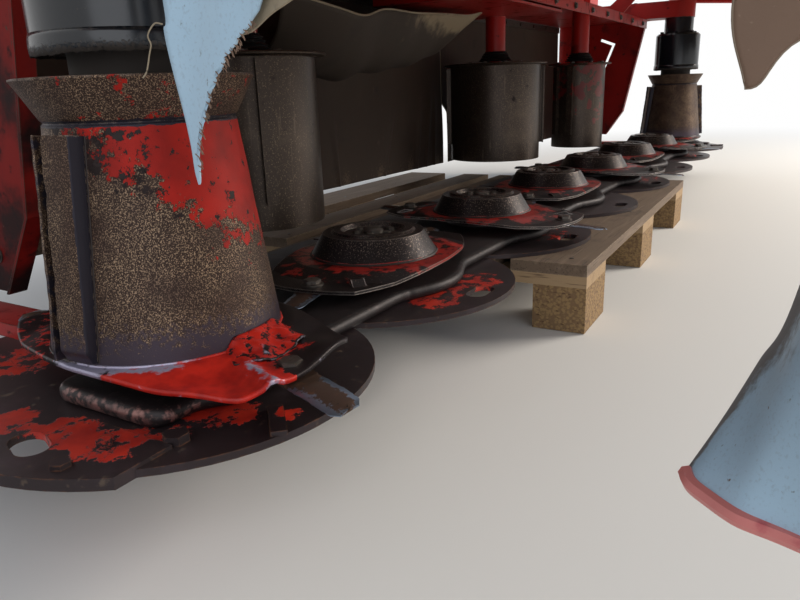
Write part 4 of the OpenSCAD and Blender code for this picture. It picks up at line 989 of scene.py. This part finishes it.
# A spring pin and its hoop through each lower link pin
hitch = {"x": 436, "y": 720, "z": 335}
pins = []
around = np.linspace(0, 2 * math.pi, 40)
for side in (-1, 1):
    hoop = np.column_stack([np.full(40, side * hitch["x"]), hitch["y"] + 22 * np.sin(around),
                            hitch["z"] + 22 - 22 * np.cos(around)])
    pins.append(tubed(hoop, 1.8, 6))
    pins.append(tubed([(side * hitch["x"], hitch["y"], hitch["z"] + end) for end in (-26, 26)], 5, 12))
makePiece("spring_pins", joined(pins), "boltSteel", "frame")

# Pallet nails, two where each board crosses a bearer; a board is its start and its width
pallet = {"x": -838, "y": -291, "turn": 1.7, "bearerPitch": 527.5, "bearerMiddle": 72, "nailTop": -54.8}
boards = [(0, 145), (176, 96), (300, 96), (412, 84), (520, 112), (678, 96), (855, 145)]
bearers = [pallet["bearerMiddle"] + b * pallet["bearerPitch"] for b in range(3)]
nailSpots = [(x + along, start + width * share, pallet["nailTop"])
             for x in bearers for start, width in boards for along, share in ((-28, 0.28), (26, 0.7))]
nailSpots = turn2d(nailSpots, pallet["turn"]) + [pallet["x"], pallet["y"], 0]
nail = turned([(4.2, -0.5), (4.2, 0.5), (3, 1.1)], (0, 0, 0), 10)
makePiece("pallet_nails", repeated(nail, nailSpots), "boltSteel", "frame")

print("canvases")
cloth = {"thick": 1.4, "stripThick": 1.2, "hem": 3.4}


# A sheet is a grid of points: rows run down or along it, columns across. It gets a woven material on both
# sides, and a UV map that spans the flat size it was cut to
def clothPiece(name, grid, finish, back, flat, node, body="front_guard",
               dirt=None):
    rows, columns = grid.shape[:2]
    across = np.linspace(0, 1, columns)[None] * flat[0] * np.ones((rows, 1))
    down = np.linspace(0, 1, rows)[:, None] * flat[1] * np.ones((1, columns))
    piece = makePiece(name, (grid.reshape(-1, 3), gridFaces(rows, columns)), [finish, back], body,
                      marks={"dirt": np.zeros(rows * columns) if dirt is None else dirt},
                      uv=np.stack([across.ravel(), down.ravel()], -1))
    thicken(piece, cloth["thick"], backSlot=1)
    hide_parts(node)


def hemOf(name, path, radius, finish, body="front_guard"):
    return makePiece(name, tubed(path, radius, 7), finish, body)


def ruled(first, second, columns):  # straight rows from one edge to the other, and the share of the way across
    t = np.linspace(0, 1, columns)[None]
    return between(first[:, None], second[:, None], t[..., None]), t


# Torn strip over the left arm: its left edge hangs to a point, its right edge is frayed, and its uncoated back
# turns out beside it. Its controls are y and z
strip = {"x": -1805.5, "rows": 70, "columns": 26, "backX": -1800.5, "backRows": 50, "backColumns": 18}
leftEdge = curved([(-352, 586), (-362, 480), (-370, 380), (-372, 299), (-370, 287), (-371, 268), (-373, 251),
                   (-375, 236), (-376, 226), (-378, 220)], strip["rows"])
rightEdge = curved([(-520, 586), (-490, 500), (-462, 400), (-444, 318), (-427, 294), (-412, 281), (-402, 272),
                    (-390, 257), (-381, 240), (-378.6, 221)], strip["rows"])
plan, t = ruled(leftEdge, rightEdge, strip["columns"])
sway = 3.0 * wander(plan[..., 0] / 14 + plan[..., 1] / 60, (1, 2.3), 4) * smoothStep(586, 480, plan[..., 1])
fray = 1.0 * wander(plan[:, -1, 1], (0.9, 2.1, 3.7), 9)[:, None] * t ** 6
grid = np.stack([strip["x"] + sway, plan[..., 0] + fray, plan[..., 1]], -1)
dirt = 0.42 * hump(plan[..., 0], -381, 5) * hump(plan[..., 1], 287, 6)
backEdge = curved([(-545, 586), (-522, 500), (-496, 400), (-470, 335), (-448, 301), (-439, 294), (-426, 289),
                   (-414, 284)], strip["backRows"])
innerEdge = curved([(-492, 586), (-462, 500), (-432, 400), (-422, 335), (-417, 305), (-414, 296), (-411, 289),
                    (-408, 283)], strip["backRows"])
backPlan, t = ruled(innerEdge, backEdge, strip["backColumns"])
backX = strip["backX"] + 2.0 * wander(backPlan[..., 0] / 11, (1, 2), 3)
backGrid = np.stack([backX, backPlan[..., 0], backPlan[..., 1]], -1)
fronts, backs = gridFaces(*grid.shape[:2]), gridFaces(*backGrid.shape[:2])
bothSides = joined([(grid.reshape(-1, 3), fronts), (backGrid.reshape(-1, 3), backs)])
backDirt = np.full(backX.size, 0.3)
stripPiece = makePiece("torn_strip", bothSides, ["paleTarp", "tarpBack"], "front_guard",
                       marks={"dirt": np.concatenate([dirt.ravel(), backDirt])})
faceSlots = np.array([0] * len(fronts) + [1] * len(backs), np.int32)
stripPiece.data.polygons.foreach_set("material_index", faceSlots)
thicken(stripPiece, cloth["stripThick"])
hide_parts("canvas_strip")
threads = []
for row in np.linspace(34, strip["rows"] - 3, 110).astype(int):
    root = grid[row, -1] + [1.5 * (random.random() - 0.5), 0, 0]
    reach = np.array([1.5 * (random.random() - 0.5), -0.9 - 1.3 * random.random(),
                      -0.6 - 1.6 * random.random()])
    threads.append(tubed([root - reach * 0.3, root + reach * 0.5, root + reach + [0, 0.3, -0.6]], 0.22, 4))
fringe = makePiece("strip_fringe", joined(threads), "remnantTarp", "front_guard")
threadLine = curved([(-1806, -369, 290), (-1806, -364, 290.5), (-1807, -360, 286), (-1806, -360, 282),
                     (-1805, -357, 278), (-1806, -355, 271), (-1807, -353, 268)], 40)
thread = hemOf("loose_thread", threadLine, 0.35, "tarpBack")

# Corner flap on the front rail's end: it hangs twisted, so that it is seen from its inner side
corner = {"rows": 90, "columns": 30}
inner = curved([(-1690, -641, 571), (-1691, -645, 540), (-1692, -644, 400), (-1693, -636, 260),
                (-1692, -622, 162), (-1708, -612, 138), (-1733, -602, 119), (-1756, -592, 103)],
               corner["rows"])
outer = curved([(-1820, -641, 571), (-1820, -645, 553), (-1821, -650, 420), (-1820, -652, 300),
                (-1816, -655, 190), (-1809, -658, 150), (-1804, -662, 126), (-1800, -665, 104)],
               corner["rows"])
foot = curved([(-1756, -592, 103), (-1766, -600, 102), (-1776, -615, 102), (-1782, -634, 102),
               (-1800, -665, 104)], corner["columns"])
grid, t = ruled(inner, outer, corner["columns"])
grid = grid + (foot - grid[-1])[None] * smoothStep(240, 98, grid[..., 2:3])
sag = 7 * np.sin(math.pi * t) * smoothStep(560, 300, grid[..., 2])
fold = 4 * np.sin(t * 9 + grid[..., 2] / 60) * smoothStep(540, 260, grid[..., 2]) * smoothStep(0, 0.3, t)
grid[..., 1] += 0.4 * sag + 0.5 * fold
grid[..., 0] -= 0.3 * sag
dirt = hump(t, 0, 0.1 + 0.34 * smoothStep(104, 175, grid[..., 2]))
hemCord = hemOf("corner_hem", grid[-1], cloth["hem"], "hemPlastic")
clothPiece("corner_flap", grid, "paleTarp", "paleTarp", (0.16, 0.52), "canvas_corner",
           dirt=dirt)

# What is left of the skirt's first panel, narrow and soiled
remnant = {"rows": 60, "columns": 24}
left = curved([(-1610, -641, 572), (-1608, -640, 545), (-1602, -615, 450), (-1600, -590, 370),
               (-1600, -573, 297), (-1597, -581, 253)], remnant["rows"])
right = curved([(-1436, -641, 572), (-1440, -642, 545), (-1490, -652, 450), (-1545, -656, 360),
                (-1585, -655, 312), (-1591, -655, 297)], remnant["rows"])
grid, t = ruled(left, right, remnant["columns"])
swell = 3 * np.sin(t * math.pi) * smoothStep(400, 297, grid[..., 2])
grid[..., 2] += swell - 4 * np.sin(t * 12) * smoothStep(330, 290, grid[..., 2])
grid[..., 1] += 3.5 * np.sin(t * 8 + grid[..., 2] / 50) * smoothStep(560, 420, grid[..., 2])
hemLine = np.concatenate([grid[:, 0], grid[-1, 1:]])[2:]
hemCord = hemOf("remnant_hem", hemLine, 0.8, "remnantHem")
clothPiece("remnant", grid, "remnantTarp", "remnantTarp", (0.19, 0.34),
           "canvas_remnant")

# Front skirt: hangs over the rail in soft folds, and ends in a torn wavy edge with threads
skirt = {"from": -1403, "to": 1820, "y": -641, "top": 572, "drop": 170, "rows": 34, "columns": 560,
         "threads": 60}
x = np.linspace(skirt["from"], skirt["to"], skirt["columns"])[None]
drop = np.linspace(0, 1, skirt["rows"])[:, None]
hang = skirt["drop"] + 14 * wander(x / 100, (0.7, 1.9, 4.3), 11) + 5 * wander(x / 100, (11, 23, 47), 12)
wave = (9 * np.sin(x / 61 + 0.8 * drop) + 5 * np.sin(x / 23)) * drop ** 1.2
grid = np.stack([x + 0 * drop, skirt["y"] - 4 - 8 * drop + wave, skirt["top"] - drop * hang], -1)
threads = []
for at in np.linspace(skirt["from"] + 15, skirt["to"] - 15, skirt["threads"]):
    column = int((at - skirt["from"]) / (skirt["to"] - skirt["from"]) * (skirt["columns"] - 1))
    foot = grid[-1, column]
    reach = 14 + 20 * random.random()
    bend = 8 * (random.random() - 0.5)
    line = [foot + [0, 0, 2], foot + [bend * 0.3, 0, -reach * 0.4], foot + [bend, bend * 0.4, -reach]]
    threads.append(tubed(line, 0.5, 4))
threadPiece = makePiece("skirt_threads", joined(threads), "tarpBack", "front_guard")
hemLine = [(at, skirt["y"] - 3, skirt["top"]) for at in np.linspace(skirt["from"], skirt["to"], 200)]
topHem = hemOf("skirt_top_hem", hemLine, 2.4, "paleTarp")
dirt = smoothStep(0.7, 1, drop) * 0.5 + 0 * x
clothPiece("front_skirt", grid, "tarpBack", "paleTarp", (3.35, 0.21), "canvas_skirt",
           dirt=dirt)

# Top canvas over the guard's arms: it sags between them and is lapped over the rail and the hinge tube
top = {"half": 1820, "rows": 70, "columns": 380, "hinge": (34, 651), "rail": (-640, 590.5), "sag": 16,
       "fold": 2.6, "arms": [-1805.5, -729, 0, 729, 1805.5]}
x = np.linspace(-top["half"], top["half"], top["columns"])[None]
s = np.linspace(0, 1, top["rows"])[:, None]
y, z = (between(hinge, rail, s) for hinge, rail in zip(top["hinge"], top["rail"]))
nearest = np.min(np.abs(x[..., None] - np.array(top["arms"])), -1)
slack = top["sag"] * np.sin(math.pi * s) ** 0.8 * smoothStep(24, 300, nearest)
folds = top["fold"] * np.sin(x / 37 + 2.4 * s) * smoothStep(20, 90, nearest) * np.sin(math.pi * s)
grid = np.stack([x + 0 * s, y + 0 * x, z - slack + folds], -1)
dirt = 0.25 * hump(s, 1, 0.08) + 0 * x
eyelet = [(7, 0), (12, 0.4), (12, 1.6), (9.5, 2.2), (7, 1.6)]
eyelets = [turned(eyelet, (at, y, z), 18) for y, z in ((22, 652.5), (-622, 593.2))
           for at in np.arange(-1700, 1701, 170.0)]
eyeletPiece = makePiece("top_eyelets", joined(eyelets), "boltSteel", "front_guard")
clothPiece("top_canvas", grid, "tarpBack", "paleTarp", (3.7, 0.70), "canvas_top",
           dirt=dirt)

# Rear canvases: long curtains with slow folds under the roof's rear edge, parted by a slit. A sharp fold has a
# place on the hem in x and z, a lean and a reach up
curtain = {"y": 557.5, "top": 521.5, "foot": -3.5, "rows": 90, "slit": (226, 268), "end": 1490, "height": 0.54,
           "spare": 0.03}
sharpFolds = [(37, 8, 0.13, 300), (105, 40, 0.17, 340), (160, 0, 0.05, 300), (-165, 5, 0.3, 260),
              (-420, 0, -0.1, 330), (-800, 0, 0.12, 300), (-1180, 0, -0.16, 320), (420, 0, 0.1, 320),
              (760, 0, -0.12, 300), (1150, 0, 0.16, 330)]
for name, xFrom, xTo, columns in (("rear_left", -curtain["end"], curtain["slit"][0], 340),
                                  ("rear_right", curtain["slit"][1], curtain["end"], 240)):
    x = np.linspace(xFrom, xTo, columns)[None]
    s = np.linspace(0, 1, curtain["rows"])[:, None]
    z = between(curtain["top"], curtain["foot"], s)
    low = smoothStep(500, 120, z)
    slow = np.sin(x / 88 + 0.9 * np.sin(z / 150)) + 0.5 * np.sin(x / 41 - z / 170)
    y = curtain["y"] - low * (3.6 + 2.2 * slow)
    for foldX, foldZ, foldLean, reach in sharpFolds:
        away = (x - foldX - foldLean * (z - foldZ)) / (5 + 0.05 * (z + 4))
        y = y - 5 * np.exp(-away ** 2) * (1 - smoothStep(reach * 0.5, reach, z)) * low
    edge = hump(np.minimum(np.abs(x - xFrom), np.abs(x - xTo)), 0, 26)
    y = y - 3 * edge * low
    drawn = -40 * smoothStep(168, 214, z) * (1 - (x - xFrom) / (xTo - xFrom)) ** 24 * (xFrom > 0)
    grid = np.stack([x + 3 * edge * np.sin(z / 60) * low + drawn, y, z + 0 * x], -1)
    dirt = 0.8 * smoothStep(0.82, 1, s) * (0.5 + 0.5 * wander(x / 30, (1, 3), 2)) + 0.2 * edge
    sideHem = hemOf(f"{name}_hem", grid[:, 0 if xFrom > 0 else -1], 2.2, "tarpBack", "frame")
    flat = ((xTo - xFrom) / 1000 + curtain["spare"], curtain["height"])
    clothPiece(name, grid, "dustyShadedTarp", "dustyShadedTarp", flat, f"canvas_{name}", body="frame",
               dirt=dirt)

# Fallen curtain under the carrier, slung like a hammock. The belly is the line that it takes halfway back
valance = {"rows": 44, "columns": 120}
frontLine = curved([(-930, 285, 446), (-760, 272, 424), (-640, 290, 420), (-504, 320, 445), (-371, 320, 446),
                    (-302, 330, 450), (-180, 320, 455), (-68, 310, 458), (33, 310, 472)], valance["columns"])
belly = curved([(-850, 425, 348), (-716, 427, 306), (-577, 430, 286), (-465, 430, 302), (-341, 430, 310),
                (-203, 430, 327), (-80, 430, 352), (-33, 430, 376), (-12, 430, 405)], valance["columns"])
backLine = curved([(-880, 545, 430), (-720, 544, 404), (-577, 545, 392), (-465, 545, 396), (-341, 545, 400),
                   (-203, 545, 410), (-80, 545, 424), (-33, 545, 440), (10, 540, 468)], valance["columns"])
t = np.linspace(0, 1, valance["rows"])[:, None, None]
middle = 2 * belly - 0.5 * (frontLine + backLine)
grid = (1 - t) ** 2 * frontLine[None] + 2 * t * (1 - t) * middle[None] + t ** 2 * backLine[None]
grid[..., 2] += 3 * np.sin(grid[..., 0] / 27) * np.sin(math.pi * t[..., 0])
x = grid[..., 0]
# painted light and shade: paler along the front edge and to the right, dark to the left
dirt = hump(t[..., 0], 0, 0.16) * smoothStep(-700, -100, x) + 0.3 * smoothStep(-300, 0, x)
hemCord = hemOf("valance_hem", frontLine, 2.4, "tarpBack", "frame")
clothPiece("valance", grid, "fallenTarp", "fallenTarp", (1.0, 0.5),
           "canvas_valance", body="frame", dirt=dirt)

# Clamp strips with bolts that hold the canvases
rearSpans = ((-1480, -20), (290, 1480))
rearClamps = [swept([(at, 550, 506) for at in np.linspace(low, high, 40)], flatSection(5, 26))
              for low, high in rearSpans]
rearSpots = [(at, 547.4, 506) for low, high in rearSpans for at in np.arange(low + 30, high, 160)]
guardClamp = swept([(at, -662, 566) for at in np.linspace(-1390, 1800, 60)], flatSection(4, 22))
guardSpots = [(at, -664.2, 566) for at in np.arange(-1360, 1800, 158)]
rearBolts, guardBolts = boltGroups(7, 6, [(forward, rearSpots)]), boltGroups(6, 5, [(forward, guardSpots)])
makePiece("rear_clamps", joined(rearClamps), "boltSteel", "frame")
makePiece("rear_clamp_bolts", rearBolts, "boltSteel", "frame")
makePiece("skirt_clamp", guardClamp, "boltSteel", "front_guard")
makePiece("skirt_clamp_bolts", guardBolts, "boltSteel", "front_guard")

print("floor, lights and camera")
# A pale matt floor that fades to white with distance, for the camera only
floorMaterial = bpy.data.materials.new("matFloor")
floorMaterial.use_nodes = True
tree = floorMaterial.node_tree
tree.nodes.clear()
pale = addNode(tree, "ShaderNodeBsdfPrincipled", {"Base Color": hexColour("#e4e3e0"), "Roughness": 0.9})
coordinates = addNode(tree, "ShaderNodeTexCoord")
away = addNode(tree, "ShaderNodeVectorMath", {
    "operation": "SUBTRACT", 0: coordinates.outputs["Object"], 1: (0.2, 0.0, 0.0)})
sized = addNode(tree, "ShaderNodeVectorMath", {
    "operation": "MULTIPLY", 0: away.outputs[0], 1: (0.36, 0.8, 0.0)})
reach = addNode(tree, "ShaderNodeVectorMath", {"operation": "LENGTH", 0: sized.outputs[0]})
fade = addNode(tree, "ShaderNodeMapRange", {
    "interpolation_type": "SMOOTHSTEP", 0: reach.outputs["Value"], 1: 0.75, 2: 1.9, 3: 0.0, 4: 1.0})
ray = addNode(tree, "ShaderNodeLightPath")
shown = addNode(tree, "ShaderNodeMath", {
    "operation": "MULTIPLY", 0: fade.outputs[0], 1: ray.outputs["Is Camera Ray"]})
white = addNode(tree, "ShaderNodeEmission", {"Color": (1, 1, 1, 1), "Strength": 1.0})
mixed = addNode(tree, "ShaderNodeMixShader", {0: shown.outputs[0], 1: pale.outputs[0], 2: white.outputs[0]})
addNode(tree, "ShaderNodeOutputMaterial", {"Surface": mixed.outputs[0]})
floorMesh = bpy.data.meshes.new("studioFloor")
floorSize, floorZ = 30, -0.001
floorCorners = [(x * floorSize, y * floorSize, floorZ) for x, y in ((-1, -1), (1, -1), (1, 1), (-1, 1))]
floorMesh.from_pydata(floorCorners, [], [[0, 1, 2, 3]])
floorMesh.materials.append(floorMaterial)
studioFloor = bpy.data.objects.new("studioFloor", floorMesh)
bpy.context.scene.collection.objects.link(studioFloor)

# The world lights softly, and is white where the camera, a gloss or a clear piece sees it
studio = {"worldLight": 0.42, "key": 380, "keySize": 3.2, "fill": 60, "fillSize": 4.5}
world = bpy.data.worlds.new("studioWorld")
bpy.context.scene.world = world
world.use_nodes = True
tree = world.node_tree
tree.nodes.clear()
ray = addNode(tree, "ShaderNodeLightPath")
seen = addNode(tree, "ShaderNodeMath", {
    "operation": "MAXIMUM", 0: ray.outputs["Is Camera Ray"], 1: ray.outputs["Is Glossy Ray"]})
seen = addNode(tree, "ShaderNodeMath", {
    "operation": "MAXIMUM", 0: seen.outputs[0], 1: ray.outputs["Is Transmission Ray"]})
soft = addNode(tree, "ShaderNodeBackground", {"Color": hexColour("#dfe6ef"), "Strength": studio["worldLight"]})
white = addNode(tree, "ShaderNodeBackground", {"Color": (1, 1, 1, 1), "Strength": 1.0})
both = addNode(tree, "ShaderNodeMixShader", {0: seen.outputs[0], 1: soft.outputs[0], 2: white.outputs[0]})
addNode(tree, "ShaderNodeOutputWorld", {"Surface": both.outputs[0]})


def softLight(name, position, target, size, power, colour):
    light = bpy.data.lights.new(name, "AREA")
    light.shape = "DISK"
    light.size, light.energy, light.color = size, power, hexColour(colour)[:3]
    lamp = bpy.data.objects.new(name, light)
    bpy.context.scene.collection.objects.link(lamp)
    aim = (Vector(target) - Vector(position)).to_track_quat("-Z", "Y").to_matrix().to_4x4()
    lamp.matrix_world = Matrix.Translation(position) @ aim


softLight("keyLight", (3.2, -4.0, 2.6), (-0.6, -0.1, 0.3), studio["keySize"], studio["key"], "#fff6ea")
softLight("fillLight", (-4.2, -2.2, 1.9), (-1.0, 0, 0.3), studio["fillSize"], studio["fill"], "#eef3fb")

# The camera fitted to the photograph: its place from disc 1, its directions, and its focal length in pixels
sensorWidth, focalPixels, photoWidth = 36, 687.14, 800
eye = firstDisc + Vector((-0.5085, -0.6234, 0.2593))
turnAngle, tilt, roll = math.radians(-31.399), math.radians(17.069), math.radians(-2.026)
ahead = Vector((math.cos(turnAngle) * math.cos(tilt), -math.sin(turnAngle) * math.cos(tilt), -math.sin(tilt)))
level = ahead.cross(Vector((0, 0, 1))).normalized()
upright = level.cross(ahead)
cameraRight = level * math.cos(roll) + upright * math.sin(roll)
cameraUp = upright * math.cos(roll) - level * math.sin(roll)
cameraData = bpy.data.cameras.new("photoCamera")
cameraData.sensor_width = sensorWidth
cameraData.lens = sensorWidth * focalPixels / photoWidth
cameraData.clip_start = 0.01
camera = bpy.data.objects.new("photoCamera", cameraData)
bpy.context.scene.collection.objects.link(camera)
camera.matrix_world = Matrix.Translation(eye) @ Matrix((cameraRight, cameraUp, -ahead)).transposed().to_4x4()
bpy.context.scene.camera = camera
bpy.context.scene.view_settings.view_transform = "Standard"
